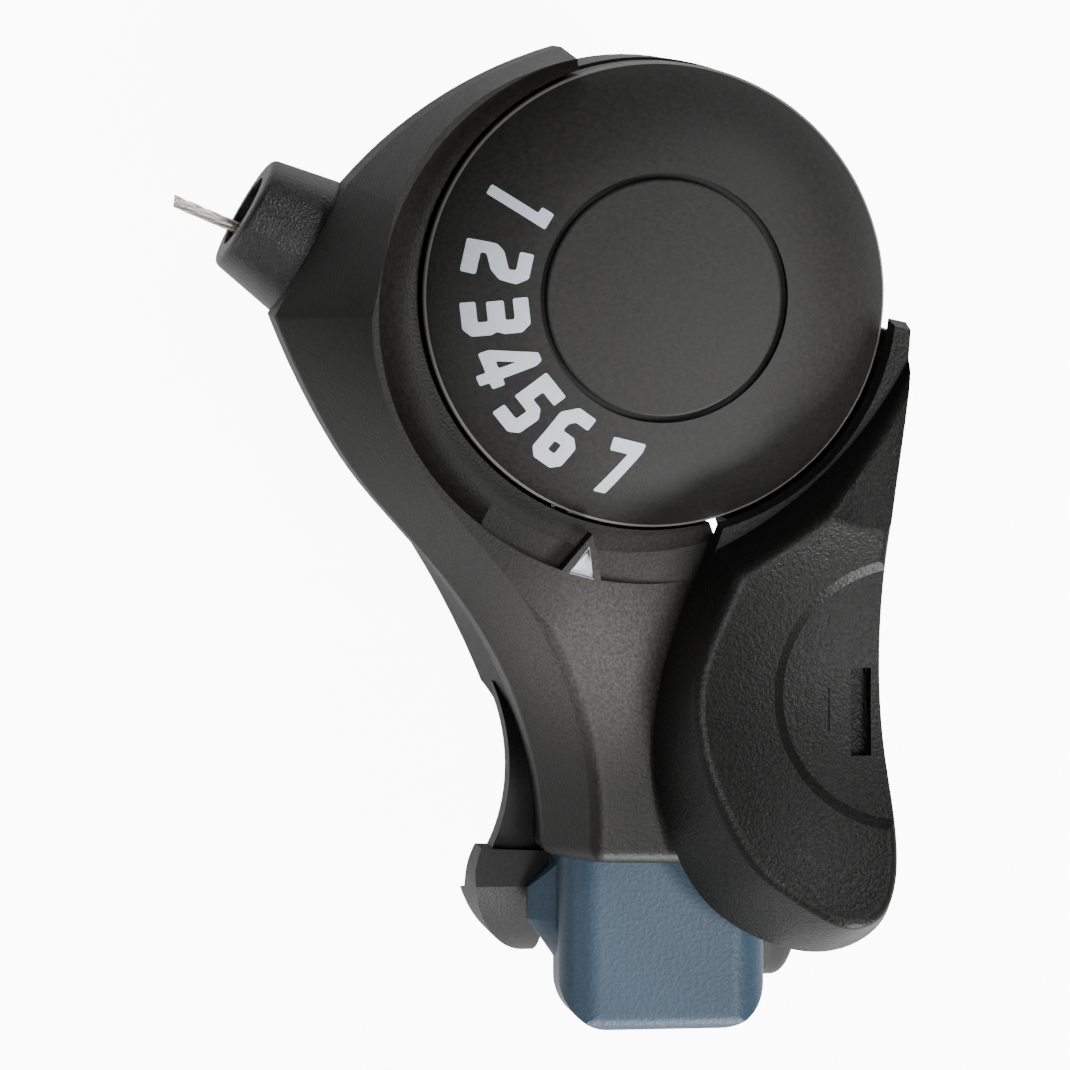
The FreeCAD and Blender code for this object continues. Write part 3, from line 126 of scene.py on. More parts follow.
def softbox(name, place_mm, side_mm, watts):
    """A square light that faces the shifter."""
    data = bpy.data.lights.new(name, "AREA")
    data.energy = watts
    data.size = side_mm * MM
    box = bpy.data.objects.new(name, data)
    box.location = Vector(place_mm) * MM
    box.rotation_euler = (SUBJECT - box.location).to_track_quat("-Z", "Y").to_euler()
    bpy.context.scene.collection.objects.link(box)


world = bpy.data.worlds.new("studio")
world.use_nodes = True
world.node_tree.nodes["Background"].inputs["Color"].default_value = (1, 1, 1, 1)
world.node_tree.nodes["Background"].inputs["Strength"].default_value = WORLD_STRENGTH
bpy.context.scene.world = world
for name, values in SOFTBOXES.items():
    softbox(name, *values)
print("studio with", len(bpy.data.lights), "softboxes")

# %% [markdown]
# The ground of a product picture is plain white paper. A floor bright enough to look white would
# throw its light up on every black flank. So the paper is pale, and a Light Path node lets it glow
# for the camera only: the picture gets its white, and the plastic keeps its dark sides.

# %% Paper
PAPER_GREY = 0.8
PAPER_ROUGHNESS = 0.9
PAPER_GLOW = 10.0


def add_node(tree, kind, inputs, **settings):
    """A shader node with its settings; each input is linked to a socket or set to a plain value."""
    node = tree.nodes.new("ShaderNode" + kind)
    for name, value in settings.items():
        setattr(node, name, value)
    for name, value in inputs.items():
        if isinstance(value, bpy.types.NodeSocket):
            tree.links.new(value, node.inputs[name])
        else:
            node.inputs[name].default_value = value
    return node


backdrop = bpy.data.materials.new("backdrop")
backdrop.use_nodes = True
paper = backdrop.node_tree.nodes["Principled BSDF"]
paper.inputs["Base Color"].default_value = (PAPER_GREY, PAPER_GREY, PAPER_GREY, 1)
paper.inputs["Roughness"].default_value = PAPER_ROUGHNESS
paper.inputs["Specular IOR Level"].default_value = 0.0
paper.inputs["Emission Color"].default_value = (1, 1, 1, 1)
seen = add_node(backdrop.node_tree, "LightPath", {})
glow = add_node(backdrop.node_tree, "Math", {0: seen.outputs["Is Camera Ray"], 1: PAPER_GLOW},
                operation="MULTIPLY")
backdrop.node_tree.links.new(glow.outputs["Value"], paper.inputs["Emission Strength"])
print("paper with", len(backdrop.node_tree.nodes), "nodes")

# %% [markdown]
# The paper lies on a plane just below the lowest solid, wide enough to fill the picture from any
# side.

# %% Floor
FLOOR_SIDE = 3.0
FLOOR_DROP = 1 * MM


def deselect():
    """Nothing selected, so that the next operator acts on its own piece only."""
    bpy.ops.object.select_all(action="DESELECT")


deselect()
bpy.ops.mesh.primitive_plane_add(size=FLOOR_SIDE, location=(0, 0, cad_low.z - FLOOR_DROP))
floor = bpy.context.object
floor.name = "floor"
floor.data.materials.append(backdrop)
floor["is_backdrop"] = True
print("floor at a height of", round(floor.location.z / MM, 1), "mm")

# %% [markdown]
# Moulds for such housings are spark-eroded, which leaves a fine sandy grain on the plastic. A shader
# node group makes it from two noises: small bumps, and coarser patches of lighter and darker specks.
# It reads the place on the piece, so the grain is the same size everywhere and nothing has to be
# unwrapped, as an image of grain would need.

# %% Sandy grain
BUMP_DETAIL = 3.0
PATCH_DETAIL = 4.0
PATCH_SHARE = 0.45
GRAIN_INPUTS = {"Place": "Vector", "Fineness": "Float"}
GRAIN_OUTPUTS = ("Height", "Speckle")


def node_group(name, inputs, outputs):
    """An empty shader node group with named sockets, and the sockets at its two ends."""
    group = bpy.data.node_groups.new(name, "ShaderNodeTree")
    for socket, kind in inputs.items():
        group.interface.new_socket(socket, in_out="INPUT", socket_type="NodeSocket" + kind)
    for socket in outputs:
        group.interface.new_socket(socket, in_out="OUTPUT", socket_type="NodeSocketFloat")
    return group, group.nodes.new("NodeGroupInput").outputs, group.nodes.new("NodeGroupOutput").inputs


def noise(group, place, fineness, detail):
    """A noise texture at a place."""
    return add_node(group, "TexNoise", {"Vector": place, "Scale": fineness, "Detail": detail})


def times(group, value, factor):
    """A value times a factor."""
    return add_node(group, "Math", {0: value, 1: factor}, operation="MULTIPLY").outputs["Value"]


spark_grain, given, made = node_group("spark_grain", GRAIN_INPUTS, GRAIN_OUTPUTS)
bumps = noise(spark_grain, given["Place"], given["Fineness"], BUMP_DETAIL)
coarseness = times(spark_grain, given["Fineness"], PATCH_SHARE)
patches = noise(spark_grain, given["Place"], coarseness, PATCH_DETAIL)
spark_grain.links.new(bumps.outputs["Fac"], made["Height"])
spark_grain.links.new(patches.outputs["Fac"], made["Speckle"])
print("node group", spark_grain.name, "with", len(spark_grain.nodes), "nodes")

# %% [markdown]
# The lever, the barrel and the button have an etched grain like leather: small rounded pebbles with
# furrows between them. A Voronoi texture gives such cells, and swaying its place with a noise takes
# away their regular look. Plain noise would look sandy again.

# %% Leathery grain
SWAY_DETAIL = 2.0
SWAY_SHARE = 0.8
SWAY_AMOUNT = 0.0006
PEBBLE_SMOOTHNESS = 0.6
leather_grain, given, made = node_group("leather_grain", GRAIN_INPUTS, GRAIN_OUTPUTS)
coarseness = times(leather_grain, given["Fineness"], SWAY_SHARE)
sway = noise(leather_grain, given["Place"], coarseness, SWAY_DETAIL)
swayed = add_node(leather_grain, "Mix",
                  {"Factor": SWAY_AMOUNT, "A": given["Place"], "B": sway.outputs["Color"]},
                  data_type="VECTOR")
pebbles = add_node(leather_grain, "TexVoronoi",
                   {"Vector": swayed.outputs["Result"], "Scale": given["Fineness"],
                    "Smoothness": PEBBLE_SMOOTHNESS}, feature="SMOOTH_F1")
leather_grain.links.new(pebbles.outputs["Distance"], made["Height"])
leather_grain.links.new(sway.outputs["Fac"], made["Speckle"])
print("node group", leather_grain.name, "with", len(leather_grain.nodes), "nodes")

# %% [markdown]
# Where a thumb rubs, black plastic greys a little. On the neck the same patch is also painted light:
# it brightens the part of the neck that faces the key light. This group gives a soft round patch: it
# measures how far a place is from the patch's middle and fades over the reach. A noise breaks the
# patch into specks, because the tops of the grain wear first. Two materials use it with their own
# values.

# %% Patch of wear and painted light
RUB_AND_LIGHT_INPUTS = {"Place": "Vector", "Middle": "Vector", "Reach": "Float", "Fineness": "Float"}
SPECK_LOW, SPECK_HIGH = 0.35, 0.65
LEAST_RUB_AND_LIGHT = 0.45
rub_and_light_patch, given, made = node_group("rub_and_light_patch", RUB_AND_LIGHT_INPUTS, ("RubAndLight",))
away = add_node(rub_and_light_patch, "VectorMath", {0: given["Place"], 1: given["Middle"]}, operation="DISTANCE")
fade = add_node(rub_and_light_patch, "MapRange",
                {"Value": away.outputs["Value"], "From Max": given["Reach"], "To Min": 1.0, "To Max": 0.0},
                interpolation_type="SMOOTHSTEP")
specks = noise(rub_and_light_patch, given["Place"], given["Fineness"], BUMP_DETAIL)
uneven = add_node(rub_and_light_patch, "MapRange", {"Value": specks.outputs["Fac"], "From Min": SPECK_LOW,
                                          "From Max": SPECK_HIGH, "To Min": LEAST_RUB_AND_LIGHT})
patch = times(rub_and_light_patch, fade.outputs["Result"], uneven.outputs["Result"])
rub_and_light_patch.links.new(patch, made["RubAndLight"])
print("node group", rub_and_light_patch.name, "with", len(rub_and_light_patch.nodes), "nodes")

# %% [markdown]
# Colours are given here as on a paint chart, three numbers from 0 to 255, because that is how an eye
# compares them with a picture. A shader counts light instead, so each number is turned into its
# linear value. Without that step every shade would come out too pale.

# %% Paint shades
def shade(*chart):
    """A colour as a paint chart gives it, 0 to 255, turned into the linear values of a shader."""
    linear = [c / 255 / 12.92 if c < 10 else ((c / 255 + 0.055) / 1.055) ** 2.4 for c in chart]
    return (*linear, 1.0)


print("middle grey, 128 on the chart, is", round(shade(128, 128, 128)[0], 3))

# %% [markdown]
# Housing, dial and lever are moulded from much the same black, but each mould has its own grain and
# gloss, and the button is slate blue. One function makes them all: it mixes two close shades by the
# speckle, lets the gloss vary a little, and raises the grain with a Bump node, whose height is in
# metres. Shine is the strength of the mirror image, low on the lever and high on the barrel.

# %% Plastics
BUMP_STRENGTH = 0.6
PLASTICS = {  # name: dark shade, light shade, roughness range, shine, grain, fineness, height in mm
    "cover_black": ((7, 6, 6), (33, 32, 30), (0.4, 0.56), 0.26, spark_grain, 3600, 0.09),
    "dial_black": ((22, 21, 21), (50, 49, 48), (0.48, 0.64), 0.3, spark_grain, 4600, 0.05),
    "base_black": ((10, 10, 10), (32, 32, 32), (0.42, 0.58), 0.2, spark_grain, 3600, 0.08),
    "lever_black": ((10, 10, 10), (30, 29, 28), (0.32, 0.48), 0.17, leather_grain, 3200, 0.08),
    "stop_black": ((12, 12, 13), (32, 32, 33), (0.32, 0.44), 0.75, leather_grain, 4000, 0.07),
    "button_slate": ((46, 62, 77), (60, 78, 94), (0.34, 0.48), 0.24, leather_grain, 2600, 0.05),
    "bush_cream": ((196, 188, 168), (214, 207, 190), (0.4, 0.5), 0.5, spark_grain, 3000, 0.02),
}


def place_on(material):
    """The place on a piece, as a socket."""
    return add_node(material.node_tree, "TexCoord", {}).outputs["Object"]


def plastic(name, dark, light, gloss, shine, grain, fineness, height_mm):
    """A moulded plastic of two shades, with a range of roughness and a grain."""
    material = bpy.data.materials.new(name)
    material.use_nodes = True
    tree = material.node_tree
    shader = tree.nodes["Principled BSDF"]
    shader.inputs["Specular IOR Level"].default_value = shine
    surface = add_node(tree, "Group", {"Place": place_on(material), "Fineness": fineness}, node_tree=grain)
    speckle = surface.outputs["Speckle"]
    colour = add_node(tree, "Mix", {"Factor": speckle, "A": shade(*dark), "B": shade(*light)},
                      data_type="RGBA")
    rough = add_node(tree, "MapRange", {"Value": speckle, "To Min": gloss[0], "To Max": gloss[1]})
    bump = add_node(tree, "Bump", {"Height": surface.outputs["Height"], "Strength": BUMP_STRENGTH,
                                   "Distance": height_mm * MM})
    tree.links.new(colour.outputs["Result"], shader.inputs["Base Color"])
    tree.links.new(rough.outputs["Result"], shader.inputs["Roughness"])
    tree.links.new(bump.outputs["Normal"], shader.inputs["Normal"])
    return material


finish = {name: plastic(name, *values) for name, values in PLASTICS.items()}
print("plastics", list(finish))

# %% [markdown]
# The neck of the cover lies under the thumb on its way to the lever, and the button is pushed by it,
# so both wear lighter. On the neck the patch is also painted light, larger and brighter than wear
# alone, lighting the part of the neck that the key light reaches. The patch is a mask that mixes a tint
# over the colour that is already there, so the grain below it stays. Painting a second material would
# leave a hard edge.

# %% Worn button, and wear with painted light on the neck
RUB_AND_LIGHT_FINENESS = 3200
RUBS_AND_PAINTED_LIGHT = {  # finish: middle in mm, reach in mm, tint
    # the cover's patch on the neck is wear and painted light together
    "cover_black": ((-4, 16, 25), 16, (84, 82, 79)),
    "button_slate": ((1, -12, 25), 12, (64, 80, 95)),
}


def repaint(material, mask, tint):
    """Mixes a tint over a material's colour wherever a mask says so."""
    colour = material.node_tree.nodes["Principled BSDF"].inputs["Base Color"]
    mix = add_node(material.node_tree, "Mix",
                   {"Factor": mask, "A": colour.links[0].from_socket, "B": shade(*tint)},
                   data_type="RGBA")
    material.node_tree.links.new(mix.outputs["Result"], colour)


def rubbed_and_painted_light(material, middle_mm, reach_mm, tint):
    """Greys a plastic round a place where the thumb rubs; on the neck this is also painted light."""
    patch = add_node(material.node_tree, "Group",
                     {"Place": place_on(material), "Middle": Vector(middle_mm) * MM,
                      "Reach": reach_mm * MM, "Fineness": RUB_AND_LIGHT_FINENESS}, node_tree=rub_and_light_patch)
    repaint(material, patch.outputs["RubAndLight"], tint)


for name, values in RUBS_AND_PAINTED_LIGHT.items():
    rubbed_and_painted_light(finish[name], *values)
print("rubbed patches on", list(RUBS_AND_PAINTED_LIGHT))

# %% [markdown]
# A thin bright line is painted on the dial's rounded rim: a painted highlight along its edge. The mask
# says yes where a place is further from the dial's axis than a radius and above a height. A ring of its
# own mesh would look the same, but it would have to follow the rounding.

# %% Painted highlight on the dial's rim
DIAL_AXIS_MM = (0, 49.5, 0)
RIM_RADIUS_MM = 22.25
RIM_BOTTOM_MM = 26.0
RIM_HIGHLIGHT_TINT = (128, 127, 125)
IN_PLAN = (1, 1, 0)


def offset_from(material, middle_mm):
    """How far a place on the piece is from a middle, as a vector."""
    return add_node(material.node_tree, "VectorMath", {0: place_on(material), 1: Vector(middle_mm) * MM},
                    operation="SUBTRACT").outputs["Vector"]


def paint_rim_highlight(material, middle_mm, radius_mm, bottom_mm, tint):
    """Paints a highlight on the rounded edge of a turned piece, from a radius outwards and a height
    upwards.
    """
    tree = material.node_tree
    away = offset_from(material, middle_mm)
    flat = add_node(tree, "VectorMath", {0: away, 1: IN_PLAN}, operation="MULTIPLY")
    across = add_node(tree, "VectorMath", {0: flat.outputs["Vector"]}, operation="LENGTH")
    height = add_node(tree, "SeparateXYZ", {"Vector": away}).outputs["Z"]
    far = add_node(tree, "Math", {0: across.outputs["Value"], 1: radius_mm * MM}, operation="GREATER_THAN")
    high = add_node(tree, "Math", {0: height, 1: bottom_mm * MM}, operation="GREATER_THAN")
    repaint(material, times(tree, far.outputs["Value"], high.outputs["Value"]), tint)


# a painted highlight along the dial's rim
paint_rim_highlight(finish["dial_black"], DIAL_AXIS_MM, RIM_RADIUS_MM, RIM_BOTTOM_MM, RIM_HIGHLIGHT_TINT)
print("painted rim highlight from a radius of", RIM_RADIUS_MM, "mm")

# %% [markdown]
# The thumb pad has a deep upright slot. The solid has it too, but under a broad light its floor comes
# out as grey as the pad, while a real slot lies in shade. So all that lies within its outline in plan
# is painted black as shade, by a mask that tests two distances.

# %% Painted shade in the thumb pad's slot
SLOT_MIDDLE_MM = (19.6, 9.2, 0)
SLOT_HALF_MM = (1.0, 4.25)
SLOT_SHADE_TINT = (0, 0, 0)


def paint_slot_shade(material, middle_mm, half_mm):
    """Paints shade into an upright slot, black wherever a place lies within its outline."""
    tree = material.node_tree
    away = add_node(tree, "VectorMath", {0: offset_from(material, middle_mm)}, operation="ABSOLUTE")
    parts = add_node(tree, "SeparateXYZ", {"Vector": away.outputs["Vector"]}).outputs
    inside = [add_node(tree, "Math", {0: parts[axis], 1: reach * MM}, operation="LESS_THAN")
              for axis, reach in zip("XY", half_mm)]
    repaint(material, times(tree, inside[0].outputs["Value"], inside[1].outputs["Value"]), SLOT_SHADE_TINT)


# painted shade: the slot is blackened where shade falls
paint_slot_shade(finish["lever_black"], SLOT_MIDDLE_MM, SLOT_HALF_MM)
print("painted slot shade of", [2 * half for half in SLOT_HALF_MM], "mm")

# %% [markdown]
# The screws, the axle and the springs are zinc-plated steel and the cable is bright drawn wire. Metal
# needs a full Metallic value; fine noise in its roughness keeps it from looking like chrome. The
# dial's ink is matt and slightly blue, with specks where it sits thinner on the grain.

# %% Metals and ink
METALS = {  # name: dark shade, light shade, roughness range, fineness
    "zinc_steel": ((150, 152, 156), (186, 188, 190), (0.28, 0.42), 2500),
    "bright_wire": ((190, 187, 178), (228, 225, 216), (0.22, 0.36), 6000),
}
METAL_SHINE = 0.5
METAL_GRAIN_MM = 0.01
WHITE_INK = ((196, 203, 216), (216, 222, 232), (0.5, 0.6), 0.3, spark_grain, 5200, 0.01)


def metal(name, dark, light, gloss, fineness):
    """A metal of two shades, with fine drawing marks in its roughness."""
    material = plastic(name, dark, light, gloss, METAL_SHINE, spark_grain, fineness, METAL_GRAIN_MM)
    material.node_tree.nodes["Principled BSDF"].inputs["Metallic"].default_value = 1.0
    return material


finish.update({name: metal(name, *values) for name, values in METALS.items()})
finish["white_ink"] = plastic("white_ink", *WHITE_INK)
print("metals and ink", list(finish)[-3:])

# %% [markdown]
# Each solid takes the finish of its real piece, and what isn't named is a steel part. A solid's shape
# is right already, so only its material slots are filled and its mesh is left alone.

# %% Finishes on the solids
FINISH_OF = {
    "top_cover": "cover_black",
    "base_body": "base_black",
    "cable_stop": "stop_black",
    "dial": "dial_black",
    "dial_cap": "dial_black",
    "thumb_lever": "lever_black",
    "release_button": "button_slate",
    "release_slider": "button_slate",
    "axle_bush": "bush_cream",
    "spool": "bush_cream",
}
for name, solid in solids.items():
    for slot in solid.material_slots:
        slot.material = finish[FINISH_OF.get(name, "zinc_steel")]
print("finishes on", len(solids), "solids")

# %% [markdown]
# The gear numerals are pad-printed in a plain squared style. Each is drawn in millimetres as the
# outline of a few straight strokes, with its hole as a second outline. A font would be quicker, but
# no common one has these strokes. The corners are rounded a little, as ink draws them.

# %% Outlines of the numerals
NUMERALS = {
    "1": [[(-0.7, -3.3), (0.4, -3.3), (0.5, 3.3), (-1.3, 3.3), (-1.3, 1.9), (-0.6, 1.9)]],
    "2": [[(-1.7, -3.3), (1.7, -3.3), (1.7, -1.8), (-0.6, -1.8), (-0.6, -1.2), (0.9, -0.5),
           (1.7, 0.5), (1.8, 2.2), (1.0, 3.3), (-1.5, 3.3), (-1.5, 1.9), (0.4, 1.9), (0.5, 1.2),
           (-1.2, 0.4), (-1.8, -0.4), (-1.8, -1.4)]],
    "3": [[(-1.7, -3.3), (1.0, -3.3), (1.8, -2.5), (1.8, -0.6), (1.5, 0.0), (1.8, 0.6), (1.8, 2.4),
           (1.0, 3.3), (-1.7, 3.3), (-1.7, 1.8), (0.4, 1.8), (0.4, 0.9), (-1.6, 0.9), (-1.6, -0.8),
           (0.4, -0.8), (0.4, -1.8), (-1.7, -1.8)]],
    "4": [[(0.2, -3.2), (1.3, -3.2), (1.3, -2.2), (2.0, -2.2), (2.0, -0.9), (1.3, -0.9), (1.3, 2.6),
           (1.0, 3.3), (0.1, 3.3), (-1.9, -1.1), (-1.9, -2.2), (0.2, -2.2)],
          [(-0.6, -0.9), (0.2, -0.9), (0.2, 0.9)]],
    "5": [[(-1.6, -3.3), (0.9, -3.3), (1.7, -2.5), (1.7, -0.2), (0.9, 0.6), (-0.3, 0.6), (-0.3, 1.8),
           (1.5, 1.8), (1.5, 3.3), (-1.7, 3.3), (-1.7, -0.6), (0.3, -0.6), (0.3, -1.9), (-1.6, -1.9)]],
    "6": [[(-1.0, -3.3), (1.0, -3.3), (1.8, -2.5), (1.8, -0.3), (1.0, 0.5), (-0.4, 0.5), (-0.4, 1.3),
           (0.1, 1.9), (1.6, 1.9), (1.6, 3.3), (-0.5, 3.3), (-1.8, 1.9), (-1.8, -2.5)],
          [(-0.4, -1.9), (0.4, -1.9), (0.4, -0.8), (-0.4, -0.8)]],
    "7": [[(-1.8, -2.9), (-0.5, -2.9), (1.8, 2.1), (1.9, 3.0), (-1.5, 3.0), (-1.5, 1.6), (0.4, 1.6)]],
}
NUMERAL_SIZE = 0.95
CORNER_RADIUS = 0.22
LONGEST_CORNER = 0.45
CORNER_STEPS = (0.0, 0.33, 0.67, 1.0)


def rounded(outline):
    """An outline with each corner rounded off by a few points on a curve."""
    smooth = []
    for before, corner, after in zip(outline[-1:] + outline[:-1], outline, outline[1:] + outline[:1]):
        corner = Vector(corner)
        ways = [Vector(near) - corner for near in (before, after)]
        start, end = [corner + way.normalized() * min(CORNER_RADIUS, way.length * LONGEST_CORNER)
                      for way in ways]
        for share in CORNER_STEPS:
            smooth.append(start * (1 - share) ** 2 + corner * 2 * share * (1 - share) + end * share ** 2)
    return smooth


drawings = {digit: [[point * NUMERAL_SIZE for point in rounded(outline)] for outline in outlines]
            for digit, outlines in NUMERALS.items()}
print("points in each numeral", {digit: sum(map(len, drawn)) for digit, drawn in drawings.items()})

# %% [markdown]
# Each outline now becomes a flat curve, which fills itself and leaves its hole open, and the curve is
# made a mesh. Filling the faces by hand would mean splitting every numeral into corners first.

# %% Flat numerals
def activate(piece):
    """Makes a piece the only one that operators act on."""
    deselect()
    piece.select_set(True)
    bpy.context.view_layer.objects.active = piece


def flat_shape(name, outlines):
    """A flat mesh from closed outlines in millimetres; an outline inside another is a hole."""
    drawing = bpy.data.curves.new(name, "CURVE")
    drawing.dimensions = "2D"
    drawing.fill_mode = "BOTH"
    for outline in outlines:
        spline = drawing.splines.new("POLY")
        spline.points.add(len(outline) - 1)
        for point, (x, y) in zip(spline.points, outline):
            point.co = (x * MM, y * MM, 0, 1)
        spline.use_cyclic_u = True
    piece = bpy.data.objects.new(name, drawing)
    bpy.context.scene.collection.objects.link(piece)
    activate(piece)
    bpy.ops.object.convert(target="MESH")
    return bpy.context.object


numerals = {digit: flat_shape("numeral_" + digit, drawn) for digit, drawn in drawings.items()}
print("flat numerals", [numeral.name for numeral in numerals.values()])

# %% [markdown]
# The dial is domed, and a large flat face can't bend. Bisecting each numeral along a grid gives it
# points to bend at, and the cuts leave its outline alone. Where a cut runs through a corner it leaves
# two points on one spot, which are merged.

# %% Numerals cut into cells
INK = 0.03 * MM
CELL = 0.9 * MM


def merge_doubles(distance):
    """Joins the vertices of the mesh in edit mode that lie together."""
    bpy.ops.mesh.select_all(action="SELECT")
    bpy.ops.mesh.remove_doubles(threshold=distance)


def cut_cells(piece):
    """Cuts a flat mesh into small cells, so that it can follow a curved surface."""
    activate(piece)
    bpy.ops.object.mode_set(mode="EDIT")
    for axis in (Vector((1, 0, 0)), Vector((0, 1, 0))):
        count = int(max(abs(v.co.dot(axis)) for v in piece.data.vertices) / CELL)
        for step in range(-count, count + 1):
            bpy.ops.mesh.select_all(action="SELECT")
            bpy.ops.mesh.bisect(plane_co=axis * step * CELL, plane_no=axis)
    merge_doubles(INK / 3)
    bpy.ops.object.mode_set(mode="OBJECT")


for numeral in numerals.values():
    cut_cells(numeral)
print("faces in each numeral", [len(numeral.data.polygons) for numeral in numerals.values()])

# %% [markdown]
# A soft pad prints such a dial: it comes straight down and leaves a film of ink. A Shrinkwrap modifier
# that projects downwards does the same, and a Solidify modifier gives the film its thickness. An image
# on the dial would need an unwrapped surface, and its edges would blur.

# %% Numerals printed on the dial
DIAL_MIDDLE = Vector(DIAL_AXIS_MM) * MM
DROP_FROM = 45 * MM
PLACES = {"1": (16.4, 148.1), "2": (16.3, 167.6), "3": (16.2, 186.2), "4": (16.3, 202.4),
          "5": (16.4, 218.7), "6": (16.4, 234.2), "7": (16.9, 255.9)}  # radius in mm, angle


def print_round_dial(piece, solid, radius_mm, degrees):
    """Sets a flat shape at a place round the dial, top inwards, and drops it onto a solid as ink."""
    activate(piece)
    angle = math.radians(degrees)
    way = Vector((math.cos(angle), math.sin(angle), 0))
    piece.location = DIAL_MIDDLE + way * radius_mm * MM + Vector((0, 0, DROP_FROM))
    piece.rotation_euler = (0, 0, angle + math.pi / 2)
    bpy.ops.object.transform_apply(location=True, rotation=True, scale=True)
    drop = piece.modifiers.new("drop", "SHRINKWRAP")
    drop.target = solid
    drop.wrap_method = "PROJECT"
    drop.use_project_z = True
    drop.use_negative_direction = True
    drop.use_positive_direction = False
    drop.offset = INK / 3
    film = piece.modifiers.new("film", "SOLIDIFY")
    film.thickness = INK
    film.offset = 1.0
    for modifier in ("drop", "film"):
        bpy.ops.object.modifier_apply(modifier=modifier)
    piece.data.materials.clear()
    piece.data.materials.append(finish["white_ink"])


for digit, numeral in numerals.items():
    print_round_dial(numeral, solids["dial"], *PLACES[digit])
    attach(numeral, "rotor")
print("printed numerals", "".join(numerals))

# %% [markdown]
# The pointer is a small triangle on the cover, printed in a notch of the same shape, that says which
# gear is in. It is ink as well, so it is made as the numerals are, but it lies on the cover and stays
# with the housing when the dial turns.

# %% Pointer
POINTER_OUTLINE = [(0.0, 1.75), (-1.25, -1.2), (1.25, -1.2)]
POINTER_PLACE = (26.8, -105.3)  # radius in mm, angle
pointer = flat_shape("pointer_print", [POINTER_OUTLINE])
cut_cells(pointer)
print_round_dial(pointer, solids["top_cover"], *POINTER_PLACE)
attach(pointer, "housing")
print("pointer print", len(pointer.data.polygons), "faces")

# %% [markdown]
# The shift cable is twelve wires laid round a core. A circle with twelve lobes, drawn out by a Screw
# modifier that turns as it climbs, gives all the outer wires at once. Sweeping twelve single wires
# would cost twelve times the faces for the same look. First comes the ring: four points to a wire,
# pulled in by steps from the wire's crown to the furrow beside it.

# %% Ring of wires
WIRES = 12
WIRE_POINTS = 4
CABLE_RADIUS = 0.6 * MM
WIRE_PROFILE = {0: 0.84, 1: 0.97, 3: 0.97}  # point of a wire: share of the radius; point 2 is the crown


def edit_only(piece, chosen):
    """Goes into edit mode with just the vertices selected that pass a test."""
    bpy.ops.object.mode_set(mode="EDIT")
    bpy.ops.mesh.select_mode(type="VERT")
    bpy.ops.mesh.select_all(action="DESELECT")
    bpy.ops.object.mode_set(mode="OBJECT")
    for vertex in piece.data.vertices:
        vertex.select = chosen(vertex)
    bpy.ops.object.mode_set(mode="EDIT")


def ring_of_wires(name):
    """A flat ring with a rounded bump for each outer wire."""
    deselect()
    bpy.ops.mesh.primitive_circle_add(vertices=WIRES * WIRE_POINTS, radius=CABLE_RADIUS)
    ring = bpy.context.object
    ring.name = name
    for point, share in WIRE_PROFILE.items():
        edit_only(ring, lambda vertex: vertex.index % WIRE_POINTS == point)
        bpy.ops.transform.resize(value=(share, share, 1), center_override=(0, 0, 0))
        bpy.ops.object.mode_set(mode="OBJECT")
    return ring


cable = ring_of_wires("cable_strands")
print("ring of", len(cable.data.vertices), "points for", WIRES, "wires")

# %% [markdown]
# The cable leaves the spool in a straight line and runs out through the barrel. The Screw modifier
# draws the ring out to that length and lays the wires in long turns. A straight run needs no curve to
# follow, so the finished strand is only turned and moved to its place.

# %% Cable drawn out
CABLE_RUN = 44.97 * MM
CABLE_LAY = 24 * MM
CABLE_STEPS = 90
SPOOL_RADIUS = 10 * MM
SPOOL_Z = 11.5 * MM
LEAVES_SPOOL = math.radians(-113.5)


def on_spool(angle):
    """A point on the cable's middle line where it lies round the spool."""
    return DIAL_MIDDLE + Vector((math.cos(angle) * SPOOL_RADIUS, math.sin(angle) * SPOOL_RADIUS, SPOOL_Z))


def lay_along(piece, start, way):
    """Turns a piece from the Z axis to a direction and moves it to a place, all in its mesh."""
    piece.rotation_euler = way.to_track_quat("Z", "Y").to_euler()
    piece.location = start
    bpy.ops.object.transform_apply(location=True, rotation=True, scale=True)


cable_start = on_spool(LEAVES_SPOOL)
cable_way = Vector((math.sin(LEAVES_SPOOL), -math.cos(LEAVES_SPOOL), 0))
twist = cable.modifiers.new("twist", "SCREW")
twist.angle = -2 * math.pi * CABLE_RUN / CABLE_LAY
twist.screw_offset = CABLE_RUN
twist.steps = CABLE_STEPS
twist.render_steps = CABLE_STEPS
bpy.ops.object.modifier_apply(modifier="twist")
lay_along(cable, cable_start, cable_way)
print("cable of", len(cable.data.polygons), "faces, from", [round(c / MM, 1) for c in cable_start], "mm")

# %% [markdown]
# Cable cutters leave a clean end that is a little slanted. A bisect takes off the last fraction of a
# millimetre along such a plane, and the open ends are filled, each on its own. The strand then stands
# for the plain rod among the solids.

# %% Cable cut and closed
CUT_BACK = 0.2 * MM
CUT_SLANT = math.radians(13)
SMOOTH_ANGLE = math.radians(40)


def close_ends(piece, material):
    """Fills each open end of a wire on its own, turns all faces outwards and gives it a finish."""
    bpy.ops.object.mode_set(mode="EDIT")
    bpy.ops.mesh.select_all(action="SELECT")
    bpy.ops.mesh.fill_holes(sides=0)
    bpy.ops.mesh.select_all(action="SELECT")
    bpy.ops.mesh.normals_make_consistent(inside=False)
    bpy.ops.object.mode_set(mode="OBJECT")
    bpy.ops.object.shade_smooth_by_angle(angle=SMOOTH_ANGLE)
    piece.data.materials.append(material)


